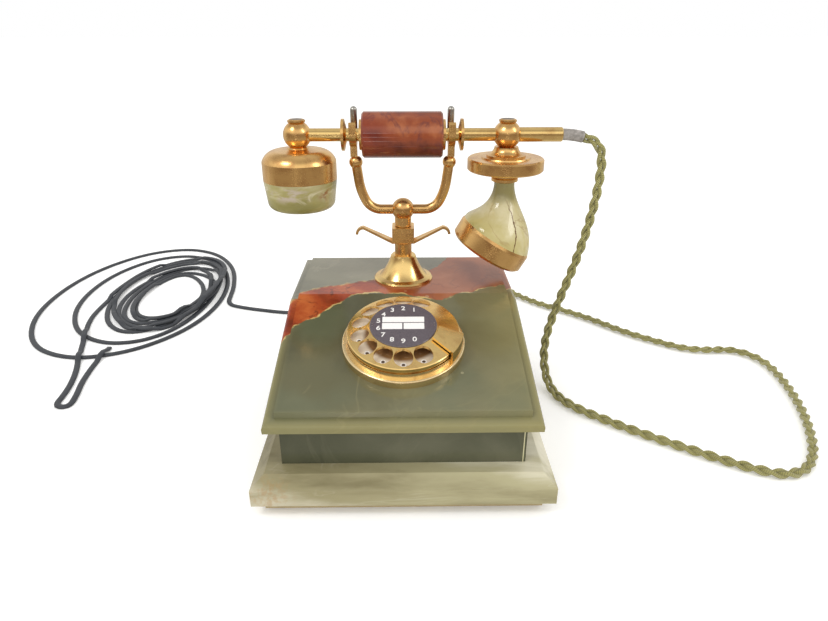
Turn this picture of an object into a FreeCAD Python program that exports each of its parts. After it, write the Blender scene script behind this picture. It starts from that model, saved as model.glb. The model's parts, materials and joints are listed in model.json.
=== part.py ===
"""Onyx and brass desk telephone with a rotary dial, a fork cradle and a loose handset.

The origin is the middle of the resting felt, +Z is up and the dial faces -Y. Sizes are millimetres and degrees.
"""
import FreeCAD
import Part
import Sketcher
import math
import os

Vector = FreeCAD.Vector
doc = FreeCAD.newDocument("telephone")
sheet = doc.addObject("Spreadsheet::Sheet", "Sizes")
pieces = {}


class Size:
    """A number that remembers the spreadsheet formula it came from."""

    def __init__(self, value, text):
        self.value = float(value)
        self.text = text

    def __add__(self, other):
        other = as_size(other)
        return Size(self.value + other.value, f"({self.text} + {other.text})")

    def __sub__(self, other):
        other = as_size(other)
        return Size(self.value - other.value, f"({self.text} - {other.text})")

    def __mul__(self, other):
        other = as_size(other)
        return Size(self.value * other.value, f"({self.text} * {other.text})")

    def __truediv__(self, other):
        other = as_size(other)
        return Size(self.value / other.value, f"({self.text} / {other.text})")

    def __neg__(self):
        return Size(-self.value, f"(-1 * {self.text})")

    __radd__ = __add__
    __rmul__ = __mul__

    def __rsub__(self, other):
        return as_size(other) - self


def as_size(number):
    return number if isinstance(number, Size) else Size(number, repr(float(number)))


def sin_of(angle):
    angle = as_size(angle)
    return Size(math.sin(math.radians(angle.value)), f"sin({angle.text} * 1deg)")


def cos_of(angle):
    angle = as_size(angle)
    return Size(math.cos(math.radians(angle.value)), f"cos({angle.text} * 1deg)")


def tan_of(angle):
    return sin_of(angle) / cos_of(angle)


def root_of(number):
    return Size(math.sqrt(number.value), f"sqrt({number.text})")


def size(name, value):
    """Writes one driving dimension into the next row of the sheet."""
    row = sum(1 for cell in sheet.getUsedCells() if cell.startswith("A")) + 1
    sheet.set(f"A{row}", name)
    sheet.set(f"B{row}", str(value))
    sheet.setAlias(f"B{row}", name)
    return Size(value, f"Sizes.{name}")


# Base: felt, pan, plinth and walls
felt_thick = size("felt_thick", 1.5)
felt_inset = size("felt_inset", 14)
pan_wide = size("pan_wide", 176)
pan_deep = size("pan_deep", 218)
pan_tall = size("pan_tall", 7.5)
pan_wall = size("pan_wall", 2)
vent_wide = size("vent_wide", 2.2)
vent_tall = size("vent_tall", 3.2)
vent_pitch = size("vent_pitch", 4)
vent_start = size("vent_start", 21)
vents_in_row = 10
boss_radius = size("boss_radius", 5)
screw_radius = size("screw_radius", 1.5)
screw_head_radius = size("screw_head_radius", 3)
screw_head_tall = size("screw_head_tall", 1.4)
screw_grip = size("screw_grip", 8)
plinth_wide = size("plinth_wide", 190)
plinth_deep = size("plinth_deep", 232)
plinth_tall = size("plinth_tall", 18.6)
bevel_in = size("bevel_in", 8)
bevel_drop = size("bevel_drop", 7)
wall_wide = size("wall_wide", 154.4)
wall_deep = size("wall_deep", 196)
wall_thick = size("wall_thick", 10)
edge_round = size("edge_round", 2.5)

# Top: a level cradle shelf and a sloping dial panel, mitred at the crease
slab_wide = size("slab_wide", 172)
slab_deep = size("slab_deep", 214)
rim_wide = size("rim_wide", 7)
rim_thick = size("rim_thick", 6)
panel_rise = size("panel_rise", 4)
slope = size("slope", 14)
shelf_top = size("shelf_top", 95.4)
crease_back = size("crease_back", 17.4)
dial_to_crease = size("dial_to_crease", 58.7)

# Dial
bezel_radius = size("bezel_radius", 41.8)
bezel_tall = size("bezel_tall", 9.5)
bezel_ring = size("bezel_ring", 38.8)
bezel_round = size("bezel_round", 1.4)
skirt_tall = size("skirt_tall", 5.4)
bezel_bore = size("bezel_bore", 34)
plate_radius = size("plate_radius", 36.3)
plate_thick = size("plate_thick", 1)
wheel_radius = size("wheel_radius", 38)
wheel_thick = size("wheel_thick", 2)
wheel_gap = size("wheel_gap", 0.8)
wheel_lip = size("wheel_lip", 2.9)
wheel_crown = size("wheel_crown", 4.4)
crown_radius = size("crown_radius", 22.8)
hole_radius = size("hole_radius", 6.3)
hole_circle = size("hole_circle", 29.55)
hole_first = size("hole_first", 64.5)
hole_step = size("hole_step", 25.7)
holes = 10
label_radius = size("label_radius", 22.4)
label_thick = size("label_thick", 0.8)
stop_thick = size("stop_thick", 1.8)
stop_inner = size("stop_inner", 24)
stop_from = size("stop_from", -38)
stop_to = size("stop_to", -8)
case_wall = size("case_wall", 2)
case_deep = size("case_deep", 20)
shaft_radius = size("shaft_radius", 4)
running_fit = size("running_fit", 0.06)
gear_module = size("gear_module", 0.6)
gear_teeth = 60
pinion_teeth = 12
gear_thick = size("gear_thick", 2.4)
mesh_gap = size("mesh_gap", 0.2)
weight_radius = size("weight_radius", 7.5)
pivot_radius = size("pivot_radius", 1.2)
contact_wide = size("contact_wide", 6)
contact_deep = size("contact_deep", 12)
contact_tall = size("contact_tall", 8)
leaf_thick = size("leaf_thick", 0.5)

# Pedestal and cradle
pedestal_back = size("pedestal_back", 51.5)
foot_radius = size("foot_radius", 23.2)
foot_rim = size("foot_rim", 3)
bell_tall = size("bell_tall", 20)
bell_low_radius = size("bell_low_radius", 18.6)
bell_top_radius = size("bell_top_radius", 9.8)
column_radius = size("column_radius", 6.6)
column_tall = size("column_tall", 29.6)
column_below = size("column_below", 18)
plunger_radius = size("plunger_radius", 4)
nut_across = size("nut_across", 20)
nut_thick = size("nut_thick", 6)
horn_thick = size("horn_thick", 2)
horn_reach = size("horn_reach", 35)
horn_rise = size("horn_rise", 11)
horn_wide = size("horn_wide", 9)
horn_tip_wide = size("horn_tip_wide", 3.4)
block_side = size("block_side", 17)
block_tall = size("block_tall", 11.4)
hook_gap = size("hook_gap", 0.4)
neck_radius = size("neck_radius", 6.4)
hub_radius = size("hub_radius", 8.6)
hub_rise = size("hub_rise", 13.2)
arm_radius = size("arm_radius", 3.7)
arm_low_out = size("arm_low_out", 24.5)
arm_mid_out = size("arm_mid_out", 32)
arm_mid_rise = size("arm_mid_rise", 14.5)
fork_half = size("fork_half", 36)
knuckle_radius = size("knuckle_radius", 5)
knuckle_inset = size("knuckle_inset", 1.2)
knuckle_rise = size("knuckle_rise", 36)
prong_wide = size("prong_wide", 5)
prong_thick = size("prong_thick", 3.4)
yoke_inner = size("yoke_inner", 8)
front_prong_rise = size("front_prong_rise", 10)
back_prong_rise = size("back_prong_rise", 19)
pin_radius = size("pin_radius", 2.6)

# Handset
handset_axis = size("handset_axis", 207.4)
rod_radius = size("rod_radius", 4.7)
rest_gap = size("rest_gap", 0.3)
grip_radius = size("grip_radius", 16.5)
grip_half = size("grip_half", 29.4)
washer_radius = size("washer_radius", 11)
washer_thick = size("washer_thick", 2)
stop_disc_radius = size("stop_disc_radius", 11.4)
stop_disc_at = size("stop_disc_at", 41)
stop_disc_dish = size("stop_disc_dish", 1.5)
ball_at = size("ball_at", 77)
ball_radius = size("ball_radius", 10.3)
ball_flat = size("ball_flat", 8.6)
socket_deep = size("socket_deep", 5)
cap_radius = size("cap_radius", 6.5)
cap_tall = size("cap_tall", 2.6)
slot_wide = size("slot_wide", 1.6)
slot_deep = size("slot_deep", 1.2)
receiver_radius = size("receiver_radius", 27.5)
dome_tall = size("dome_tall", 23.4)
dome_shoulder = size("dome_shoulder", 10)
dome_collar = size("dome_collar", 8.4)
dome_shell = size("dome_shell", 2)
cup_tall = size("cup_tall", 22)
cup_taper = size("cup_taper", 2)
cup_round = size("cup_round", 6)
cup_wall = size("cup_wall", 5)
sound_hole = size("sound_hole", 1.5)
sound_circle = size("sound_circle", 9)
capsule_tall = size("capsule_tall", 12)
disc_radius = size("disc_radius", 28.5)
disc_rim_tall = size("disc_rim_tall", 9.2)
disc_edge = size("disc_edge", 1)
disc_neck_radius = size("disc_neck_radius", 8.8)
disc_ring_radius = size("disc_ring_radius", 18.5)
disc_flare_radius = size("disc_flare_radius", 14.6)
disc_top_tall = size("disc_top_tall", 8.2)
collar_radius = size("collar_radius", 10)
collar_tall = size("collar_tall", 8.8)
bell_neck_radius = size("bell_neck_radius", 7.7)
ring_radius = size("ring_radius", 30)
ring_tall = size("ring_tall", 15.6)
ring_wall = size("ring_wall", 2)
ring_tilt = size("ring_tilt", 30)
ring_across = size("ring_across", 73.2)
ring_up = size("ring_up", 130.6)
tail_radius = size("tail_radius", 5.25)
tail_end = size("tail_end", 117.5)
relief_radius = size("relief_radius", 4.2)
relief_bend = size("relief_bend", 64)
relief_turn = size("relief_turn", 14)

# Inside the base
board_wide = size("board_wide", 110)
board_deep = size("board_deep", 48)
board_thick = size("board_thick", 1.6)
board_rise = size("board_rise", 4.5)
board_back = size("board_back", -50)
board_edge = size("board_edge", 14)
core_wide = size("core_wide", 26)
core_deep = size("core_deep", 22)
core_thick = size("core_thick", 5)
winding_tall = size("winding_tall", 12)
terminal_wide = size("terminal_wide", 45)
terminal_deep = size("terminal_deep", 12)
terminal_tall = size("terminal_tall", 9)
terminals = 5
well_radius = size("well_radius", 2.2)
switch_wide = size("switch_wide", 14)
switch_deep = size("switch_deep", 8)
switch_leaf_wide = size("switch_leaf_wide", 6)
switch_leaf_long = size("switch_leaf_long", 24)
switch_leaf_apart = size("switch_leaf_apart", 2.5)
switch_back = size("switch_back", 18)
gong_radius = size("gong_radius", 21)
gong_tall = size("gong_tall", 12)
gong_shell = size("gong_shell", 1.2)
gong_apart = size("gong_apart", 32)
gong_back = size("gong_back", 44)
gong_rise = size("gong_rise", 12)
post_radius = size("post_radius", 3)
coil_radius = size("coil_radius", 9)
frame_wide = size("frame_wide", 46)
frame_thick = size("frame_thick", 2)
ringer_back = size("ringer_back", 4)
clapper_back = size("clapper_back", 20)
clapper_long = size("clapper_long", 17)
hammer_radius = size("hammer_radius", 3)

# Cords
handset_cord_radius = size("handset_cord_radius", 3.5)
line_cord_radius = size("line_cord_radius", 2.5)
gland_radius = size("gland_radius", 6.5)
gland_long = size("gland_long", 12)
gland_apart = size("gland_apart", 40)
gland_rise = size("gland_rise", 45)
cord_gap = size("cord_gap", 0.3)
doc.recompute()

# Heights and places that follow from the sizes above
pan_floor = felt_thick + pan_wall
plinth_low = felt_thick + pan_tall
plinth_top = plinth_low + plinth_tall
slab_thick = rim_thick + panel_rise
half_slope = slope / 2
mitre = tan_of(half_slope)
shelf_low = shelf_top - slab_thick
dial_front = crease_back - dial_to_crease * cos_of(slope)
dial_height = shelf_top - dial_to_crease * sin_of(slope)
slab_front = slab_deep / 2
panel_run = (slab_front + crease_back) / cos_of(slope) - dial_to_crease


def underside(back):
    """Height of the top slabs' underside in front of the crease."""
    crease = crease_back + slab_thick * mitre
    return shelf_low - (crease - back) * tan_of(slope)


class Via:
    """A stretch of outline that is an arc through a middle point to its end."""

    def __init__(self, middle, end):
        self.middle = middle
        self.end = end


def bind(thing, name, number):
    """Sets a property and ties it to the sheet."""
    number = as_size(number)
    setattr(thing, name, number.value)
    if "Sizes" in number.text:
        thing.setExpression(name, number.text)


def place(thing, x=0, y=0, z=0, axis=(0, 0, 1), angle=0):
    """Ties an object's place and turn to the sheet."""
    x, y, z, angle = as_size(x), as_size(y), as_size(z), as_size(angle)
    turn = f"create(<<rotation>>; create(<<vector>>; {axis[0]}; {axis[1]}; {axis[2]}); {angle.text})"
    spot = f"create(<<vector>>; {x.text}; {y.text}; {z.text})"
    rotation = FreeCAD.Rotation(Vector(*axis), angle.value)
    thing.Placement = FreeCAD.Placement(Vector(x.value, y.value, z.value), rotation)
    thing.setExpression("Placement", f"create(<<placement>>; {spot}; {turn})")
    return thing


def tilted(thing, across=0):
    """Sets an object on the dial panel, with its own z along the dial's axis."""
    return place(thing, across, dial_front, dial_height, (1, 0, 0), slope)


def on_axis(thing, across=0):
    """Sets a turned object along the handset's axis, with its own z along +X."""
    return place(thing, across, pedestal_back, handset_axis, (0, 1, 0), 90)


def pin_vertex(sketch, shape, end, spot):
    """Holds one vertex of a sketch at its place from the sketch's origin."""
    for kind, number in zip(("DistanceX", "DistanceY"), spot):
        number = as_size(number)
        index = sketch.addConstraint(Sketcher.Constraint(kind, -1, 1, shape, end, number.value))
        if "Sizes" in number.text:
            sketch.setExpression(f"Constraints[{index}]", number.text)


def flat(spot):
    return Vector(as_size(spot[0]).value, as_size(spot[1]).value, 0)


def draw(sketch, outline):
    """Adds one closed outline of lines and arcs, given by its corners."""
    corners = [item.end if isinstance(item, Via) else item for item in outline]
    ends = []
    for index, item in enumerate(outline):
        start, stop = flat(corners[index - 1]), flat(corners[index])
        if isinstance(item, Via):
            middle = flat(item.middle)
            forward = (middle - start).cross(stop - middle).z > 0
            arc = Part.Arc(start, middle, stop) if forward else Part.Arc(stop, middle, start)
            shape = sketch.addGeometry(arc)
            ends.append((shape, 1, 2) if forward else (shape, 2, 1))
            point = sketch.addGeometry(Part.Point(flat(item.middle)), True)
            pin_vertex(sketch, point, 1, item.middle)
            sketch.addConstraint(Sketcher.Constraint("PointOnObject", point, 1, shape))
        else:
            ends.append((sketch.addGeometry(Part.LineSegment(start, stop)), 1, 2))
    for index, (shape, first, last) in enumerate(ends):
        follower = ends[(index + 1) % len(ends)]
        sketch.addConstraint(Sketcher.Constraint("Coincident", shape, last, follower[0], follower[1]))
        pin_vertex(sketch, shape, last, corners[index])


def sketch_on(body, plane, name, offset=0):
    """A new sketch on one of the body's own planes, moved along its normal."""
    sketch = body.newObject("Sketcher::SketchObject", name)
    support = [item for item in body.Origin.OriginFeatures if item.Role == plane][0]
    sketch.AttachmentSupport = [(support, "")]
    sketch.MapMode = "FlatFace"
    offset = as_size(offset)
    sketch.AttachmentOffset = FreeCAD.Placement(Vector(0, 0, offset.value), FreeCAD.Rotation())
    if "Sizes" in offset.text:
        sketch.setExpression("AttachmentOffset.Base.z", offset.text)
    return sketch


def circle_in(sketch, radius, across=0, up=0):
    """Adds a circle to a sketch, with its middle and radius tied."""
    radius = as_size(radius)
    middle = (as_size(across), as_size(up))
    shape = sketch.addGeometry(Part.Circle(flat(middle), Vector(0, 0, 1), radius.value))
    pin_vertex(sketch, shape, 3, middle)
    index = sketch.addConstraint(Sketcher.Constraint("Radius", shape, radius.value))
    if "Sizes" in radius.text:
        sketch.setExpression(f"Constraints[{index}]", radius.text)


def new_body(label):
    body = doc.addObject("PartDesign::Body", label)
    body.Label = label
    return body


def keep(label, thing):
    """Names a finished sub-part."""
    thing.Label = label
    pieces[label] = thing
    return thing


def turned(label, outline):
    """A body turned about its own z axis, from corners given as radius and height."""
    body = new_body(label)
    sketch = sketch_on(body, "XZ_Plane", label + "_profile")
    draw(sketch, outline)
    feature = body.newObject("PartDesign::Revolution", label + "_turn")
    feature.Profile = sketch
    feature.ReferenceAxis = (sketch, ["V_Axis"])
    feature.Angle = 360
    return body


def add_pad(body, plane, outlines, length, offset=0, circles=(), name="pad"):
    """Adds a pad of outlines, with circles as holes or as rounds, to a body."""
    sketch = sketch_on(body, plane, f"{body.Label}_{name}_outline", offset)
    for outline in outlines:
        draw(sketch, outline)
    for radius, across, up in circles:
        circle_in(sketch, radius, across, up)
    feature = body.newObject("PartDesign::Pad", f"{body.Label}_{name}")
    feature.Profile = sketch
    bind(feature, "Length", length)
    return feature


def add_cut(body, plane, outlines, length, offset=0, circles=(), name="cut", reverse=False):
    """Cuts outlines or circles out of a body, from a plane moved along its normal."""
    sketch = sketch_on(body, plane, f"{body.Label}_{name}_outline", offset)
    for outline in outlines:
        draw(sketch, outline)
    for radius, across, up in circles:
        circle_in(sketch, radius, across, up)
    feature = body.newObject("PartDesign::Pocket", f"{body.Label}_{name}")
    feature.Profile = sketch
    feature.Reversed = reverse
    bind(feature, "Length", length)
    doc.recompute()
    before = feature.BaseFeature.Shape.Volume if feature.BaseFeature else 0
    if not feature.Shape.Volume < before - 1e-3:
        raise RuntimeError(f"{feature.Label} cuts nothing")
    return feature


def add_round(body, base, wanted, radius, name="round"):
    """Rounds the edges of a feature that the test picks."""
    doc.recompute()
    names = [f"Edge{i}" for i, edge in enumerate(base.Shape.Edges, 1) if wanted(edge)]
    feature = body.newObject("PartDesign::Fillet", f"{body.Label}_{name}")
    feature.Base = (base, names)
    bind(feature, "Radius", radius)
    return feature


def extruded(label, plane, outline, length, offset=0, circles=()):
    body = new_body(label)
    add_pad(body, plane, [outline] if outline else [], length, offset, circles)
    return body


def rectangle(wide, deep, across=0, up=0):
    """A rectangle about a middle point, as four corners."""
    wide, deep = as_size(wide), as_size(deep)
    left, right = across - wide / 2, across + wide / 2
    low, high = up - deep / 2, up + deep / 2
    return [(left, low), (right, low), (right, high), (left, high)]


def box(name, wide, deep, tall, x=0, y=0, z=0):
    """A block centred on x and y that stands on z."""
    thing = doc.addObject("Part::Box", name)
    wide, deep = as_size(wide), as_size(deep)
    bind(thing, "Length", wide)
    bind(thing, "Width", deep)
    bind(thing, "Height", tall)
    return place(thing, x - wide / 2, y - deep / 2, z)


def cylinder(name, radius, tall, x=0, y=0, z=0, axis=(0, 0, 1), angle=0):
    thing = doc.addObject("Part::Cylinder", name)
    bind(thing, "Radius", radius)
    bind(thing, "Height", tall)
    return place(thing, x, y, z, axis, angle)


def fused(name, things):
    thing = doc.addObject("Part::MultiFuse", name)
    thing.Shapes = things
    return thing


def cut(name, base, tool):
    thing = doc.addObject("Part::Cut", name)
    thing.Base = base
    thing.Tool = tool
    return thing


def group(name, things):
    """Like pieces that share one node."""
    thing = doc.addObject("Part::Compound", name)
    thing.Links = things
    return thing


def solid(label, shape):
    """A sub-part whose shape comes from a worked-out path."""
    thing = doc.addObject("Part::Feature", label)
    thing.Shape = shape
    thing.Placement = FreeCAD.Placement()
    return keep(label, thing)


# Resting felt, one sheet under the pan
keep("base_felt", place(extruded(
    "base_felt", "XY_Plane", rectangle(pan_wide - 2 * felt_inset, pan_deep - 2 * felt_inset), felt_thick)))

# Base pan: a shallow tray with corner bosses, board bosses and two rows of vents in its front
pan_shell = cut("pan_shell", box("pan_block", pan_wide, pan_deep, pan_tall, z=felt_thick), box(
    "pan_hollow", pan_wide - 2 * pan_wall, pan_deep - 2 * pan_wall, pan_tall, z=pan_floor))
boss_across = pan_wide / 2 - pan_wall / 2 - boss_radius
boss_along = pan_deep / 2 - pan_wall / 2 - boss_radius
corners = [(-1, -1), (1, -1), (1, 1), (-1, 1)]
pan_bosses = []
pan_screws = []
board_bosses = []
for number, (side, end) in enumerate(corners):
    across, along = boss_across * side, boss_along * end
    pan_bosses.append(cylinder(f"pan_boss_{number}", boss_radius, pan_tall - pan_wall, across, along, pan_floor))
    head = cylinder(f"head_{number}", screw_head_radius, screw_head_tall, across, along, felt_thick)
    shank = cylinder(f"shank_{number}", screw_radius, pan_tall + screw_grip, across, along, felt_thick)
    pan_screws.append(fused(f"pan_screw_{number}", [head, shank]))
    board_bosses.append(cylinder(
        f"board_boss_{number}", boss_radius / 2, board_rise, (board_wide / 2 - boss_radius) * side,
        board_back + (board_deep / 2 - boss_radius) * end, pan_floor))
vents = []
for row in (-1, 1):
    for number in range(vents_in_row):
        across = (vent_start + vent_pitch * number) * row
        vents.append(box(f"vent_{row}_{number}".replace("-", "left"), vent_wide, pan_wall * 3, vent_tall,
                         across, -pan_deep / 2, felt_thick + pan_wall))
pan_solid = fused("pan_solid", [pan_shell] + pan_bosses + board_bosses)
keep("base_pan", cut("base_pan", pan_solid, fused("pan_openings", vents + pan_screws)))
keep("pan_screws", group("pan_screws", pan_screws))

# Plinth: one onyx frame with a bevelled top and a square opening, drilled for the pan screws
plinth = new_body("plinth")
plinth_edge = [
    (0, plinth_low), (plinth_deep, plinth_low), (plinth_deep, plinth_top - bevel_drop),
    (plinth_deep - bevel_in, plinth_top), (bevel_in, plinth_top), (0, plinth_top - bevel_drop)]
place(plinth, -plinth_wide / 2, -plinth_deep / 2)
add_pad(plinth, "YZ_Plane", [plinth_edge], plinth_wide)
side_bevel = [(0, plinth_top - bevel_drop), (bevel_in, plinth_top), (0, plinth_top)]
far_bevel = [(plinth_wide, plinth_top), (plinth_wide - bevel_in, plinth_top), (plinth_wide, plinth_top - bevel_drop)]
add_cut(plinth, "XZ_Plane", [side_bevel, far_bevel], plinth_deep, name="bevels")
opening = rectangle(wall_wide - 2 * wall_thick, wall_deep - 2 * wall_thick, plinth_wide / 2, plinth_deep / 2)
add_cut(plinth, "XY_Plane", [opening], plinth_top, name="opening", reverse=True)
add_cut(plinth, "XY_Plane", [], plinth_low + screw_grip, name="screw_holes", reverse=True, circles=[
    (screw_radius, plinth_wide / 2 + boss_across * side, plinth_deep / 2 + boss_along * end)
    for side, end in corners])
keep("plinth", plinth)

# Four onyx walls, the side ones butted between the front and the rear
wall_front = wall_deep / 2
front_wall = extruded("front_wall", "YZ_Plane", [
    (-wall_front, plinth_top), (-wall_front + wall_thick, plinth_top),
    (-wall_front + wall_thick, underside(-wall_front + wall_thick)), (-wall_front, underside(-wall_front))], wall_wide)
keep("front_wall", place(front_wall, -wall_wide / 2))
rear_wall = extruded("rear_wall", "YZ_Plane", [
    (wall_front - wall_thick, plinth_top), (wall_front, plinth_top), (wall_front, shelf_low),
    (wall_front - wall_thick, shelf_low)], wall_wide)
place(rear_wall, -wall_wide / 2)
add_cut(rear_wall, "XZ_Plane", [], wall_front, name="gland_holes", circles=[
    (gland_radius / 2, wall_wide / 2 + gland_apart * side, gland_rise) for side in (-1, 1)])
keep("rear_wall", rear_wall)
crease_low = crease_back + slab_thick * mitre
for label, across in (("left_wall", -wall_wide / 2), ("right_wall", wall_wide / 2 - wall_thick)):
    wall = extruded(label, "YZ_Plane", [
        (-wall_front + wall_thick, plinth_top), (wall_front - wall_thick, plinth_top),
        (wall_front - wall_thick, shelf_low), (crease_low, shelf_low),
        (-wall_front + wall_thick, underside(-wall_front + wall_thick))], wall_thick)
    keep(label, place(wall, across))


def along_x(edge):
    """True for a straight edge that runs across the telephone."""
    return abs(edge.tangentAt(edge.FirstParameter).x) > 0.999


def slab(label, rim_edge, panel_edge, front_or_back):
    """A top slab: a rim plate with a raised panel on it, and a rounded outer edge."""
    body = new_body(label)
    rim = add_pad(body, "YZ_Plane", [rim_edge], slab_wide, name="rim")
    outer = as_size(front_or_back).value

    def wanted(edge):
        middle = edge.CenterOfMass
        top = abs(middle.z - edge_height) < 0.01
        at_side = min(abs(middle.x), abs(middle.x - slab_wide.value)) < 0.01
        at_end = abs(middle.y - outer) < 0.01 and along_x(edge)
        return top and (at_side or at_end)

    edge_height = max(corner[1].value for corner in rim_edge)
    rounded = add_round(body, rim, wanted, edge_round)
    add_pad(body, "YZ_Plane", [panel_edge], slab_wide - 2 * rim_wide, offset=rim_wide, name="panel")
    return body, rounded


# Dial panel: sloping slab, in its own frame with the dial's middle at the origin
rim_end = -panel_run
panel_end = rim_end + rim_wide
dial_panel, panel_rim = slab(
    "dial_panel",
    [(rim_end, -slab_thick), (dial_to_crease - slab_thick * mitre, -slab_thick),
     (dial_to_crease - panel_rise * mitre, -panel_rise), (rim_end, -panel_rise)],
    [(panel_end, -panel_rise), (dial_to_crease - panel_rise * mitre, -panel_rise),
     (dial_to_crease, as_size(0)), (panel_end + panel_rise / 3, as_size(0))],
    rim_end)
add_cut(dial_panel, "XY_Plane", [], slab_thick, name="dial_hole", circles=[(bezel_bore, slab_wide / 2, 0)])
keep("dial_panel", dial_panel)
place(dial_panel, -slab_wide / 2, dial_front, dial_height, (1, 0, 0), slope)

# Cradle shelf: level slab behind the crease, drilled for the column
shelf, shelf_rim = slab(
    "cradle_shelf",
    [(crease_back + slab_thick * mitre, shelf_low), (slab_front, shelf_low),
     (slab_front, shelf_top - panel_rise), (crease_back + panel_rise * mitre, shelf_top - panel_rise)],
    [(crease_back + panel_rise * mitre, shelf_top - panel_rise), (slab_front - rim_wide, shelf_top - panel_rise),
     (slab_front - rim_wide - panel_rise / 3, shelf_top), (crease_back, shelf_top)],
    slab_front)
add_cut(shelf, "XY_Plane", [], shelf_top, name="column_hole", reverse=True,
        circles=[(column_radius, slab_wide / 2, pedestal_back)])
keep("cradle_shelf", place(shelf, -slab_wide / 2))

# Dial bezel: a low skirt with a rounded edge, and a ring on it with a ledge for the number plate
ledge = bezel_tall - plate_thick
diagonal = bezel_round * (1 - math.sqrt(0.5))
tilted(keep("dial_bezel", turned("dial_bezel", [
    (bezel_bore, 0), (bezel_radius, 0), (bezel_radius, skirt_tall - bezel_round),
    Via((bezel_radius - diagonal, skirt_tall - diagonal), (bezel_radius - bezel_round, skirt_tall)),
    (bezel_ring, skirt_tall), (bezel_ring, bezel_tall), (plate_radius + running_fit, bezel_tall),
    (plate_radius + running_fit, ledge), (bezel_bore, ledge)])))

# Number plate, a thin disc that lies on the ledge
shaft_bore = shaft_radius + running_fit
tilted(keep("number_plate", turned("number_plate", [
    (shaft_bore, ledge), (plate_radius, ledge), (plate_radius, bezel_tall), (shaft_bore, bezel_tall)])))

# Dial case: a cup under the plate that carries the shaft in a bush
case_radius = bezel_bore - running_fit
case_low = ledge - case_deep - case_wall
bush_radius = shaft_radius + case_wall
case_shell = turned("case_shell", [
    (shaft_bore, case_low), (case_radius, case_low), (case_radius, ledge), (case_radius - case_wall, ledge),
    (case_radius - case_wall, case_low + case_wall), (bush_radius, case_low + case_wall),
    (bush_radius, case_low + 2 * case_wall), (shaft_bore, case_low + 2 * case_wall)])
governor_at = gear_module * (gear_teeth + pinion_teeth) / 2 + mesh_gap
pivot_hole = cylinder("pivot_hole", pivot_radius + running_fit, case_wall * 3, governor_at, 0, case_low - case_wall)
tilted(keep("dial_case", cut("dial_case", case_shell, pivot_hole)))

# Shaft of the dial, stepped down where the finger wheel seats
lip_low = bezel_tall + wheel_gap
lip_top = lip_low + wheel_lip
wheel_top = lip_top + wheel_crown
wheel_low = wheel_top - wheel_thick
seat_radius = shaft_radius - case_wall / 2
tilted(keep("dial_shaft", turned("dial_shaft", [
    (0, case_low), (shaft_radius, case_low), (shaft_radius, wheel_low), (seat_radius, wheel_low),
    (seat_radius, wheel_top), (0, wheel_top)])))

# Finger wheel: a shallow cone with ten holes, flat in the middle, with a lip turned down at its edge
lip_inner = wheel_radius - wheel_thick
lip_corner = wheel_thick / 4
wheel_cone = turned("wheel_cone", [
    (seat_radius, wheel_low), (crown_radius, wheel_low), (lip_inner, lip_top - wheel_thick / 2), (lip_inner, lip_low),
    (wheel_radius, lip_low), (wheel_radius, lip_top - lip_corner), (wheel_radius - lip_corner, lip_top),
    (crown_radius, wheel_top), (seat_radius, wheel_top)])
finger_holes = []
for number in range(holes):
    turn = hole_first + hole_step * number
    finger_holes.append(cylinder(f"finger_hole_{number}", hole_radius, wheel_top, hole_circle * cos_of(turn),
                                 hole_circle * sin_of(turn), lip_low))
tilted(keep("finger_wheel", cut("finger_wheel", wheel_cone, fused("finger_holes", finger_holes))))

# Centre label, a round card under its clear cover
tilted(keep("label_disc", turned("label_disc", [
    (0, wheel_top), (label_radius, wheel_top), (label_radius, wheel_top + label_thick / 2),
    (label_radius - label_thick / 2, wheel_top + label_thick), (0, wheel_top + label_thick)])))


def polar(radius, turn):
    return (radius * cos_of(turn), radius * sin_of(turn))


# Finger stop: a sector of plate that follows the wheel's cone and folds down to stand on the bezel's skirt
cone_fall = wheel_crown / (wheel_radius - lip_corner - crown_radius)
foot_in = bezel_ring + running_fit
foot_out = bezel_radius - bezel_round
stop_low = wheel_top + wheel_gap
stop_inner_low = stop_low - (stop_inner - crown_radius) * cone_fall
stop_outer_low = stop_low - (foot_out - crown_radius) * cone_fall
stop_foot_low = stop_low - (foot_in - crown_radius) * cone_fall
stop_ring = turned("stop_ring", [
    (stop_inner, stop_inner_low), (foot_in, stop_foot_low), (foot_in, skirt_tall), (foot_out, skirt_tall),
    (foot_out, stop_outer_low + stop_thick), (stop_inner, stop_inner_low + stop_thick)])
stop_reach = bezel_radius * 1.5
stop_sector = extruded("stop_sector", "XY_Plane", [
    (0, 0), polar(stop_reach, stop_from), polar(stop_reach, stop_to)], wheel_top * 2)
finger_stop = doc.addObject("Part::Common", "finger_stop")
finger_stop.Base = stop_ring
finger_stop.Tool = stop_sector
tilted(keep("finger_stop", finger_stop))


def gear_shape(teeth, bore, low, thick, first_turn):
    """A spur gear with straight-sided teeth, the middle of one tooth at the first turn."""
    module = gear_module.value
    pitch = module * teeth / 2
    tooth_depths = ((pitch - 1.1 * module, 0.36), (pitch + 0.8 * module, 0.15))
    corners = []
    for number in range(teeth):
        middle = first_turn + 360 / teeth * number
        (root, root_half), (tip, tip_half) = tooth_depths
        for radius, half in ((root, -root_half), (tip, -tip_half), (tip, tip_half), (root, root_half)):
            turn = math.radians(middle + half * 360 / teeth)
            corners.append(Vector(radius * math.cos(turn), radius * math.sin(turn), low))
    blank = Part.Face(Part.makePolygon(corners + corners[:1])).extrude(Vector(0, 0, thick))
    return blank.cut(Part.makeCylinder(bore, thick, Vector(0, 0, low))) if bore else blank


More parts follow.
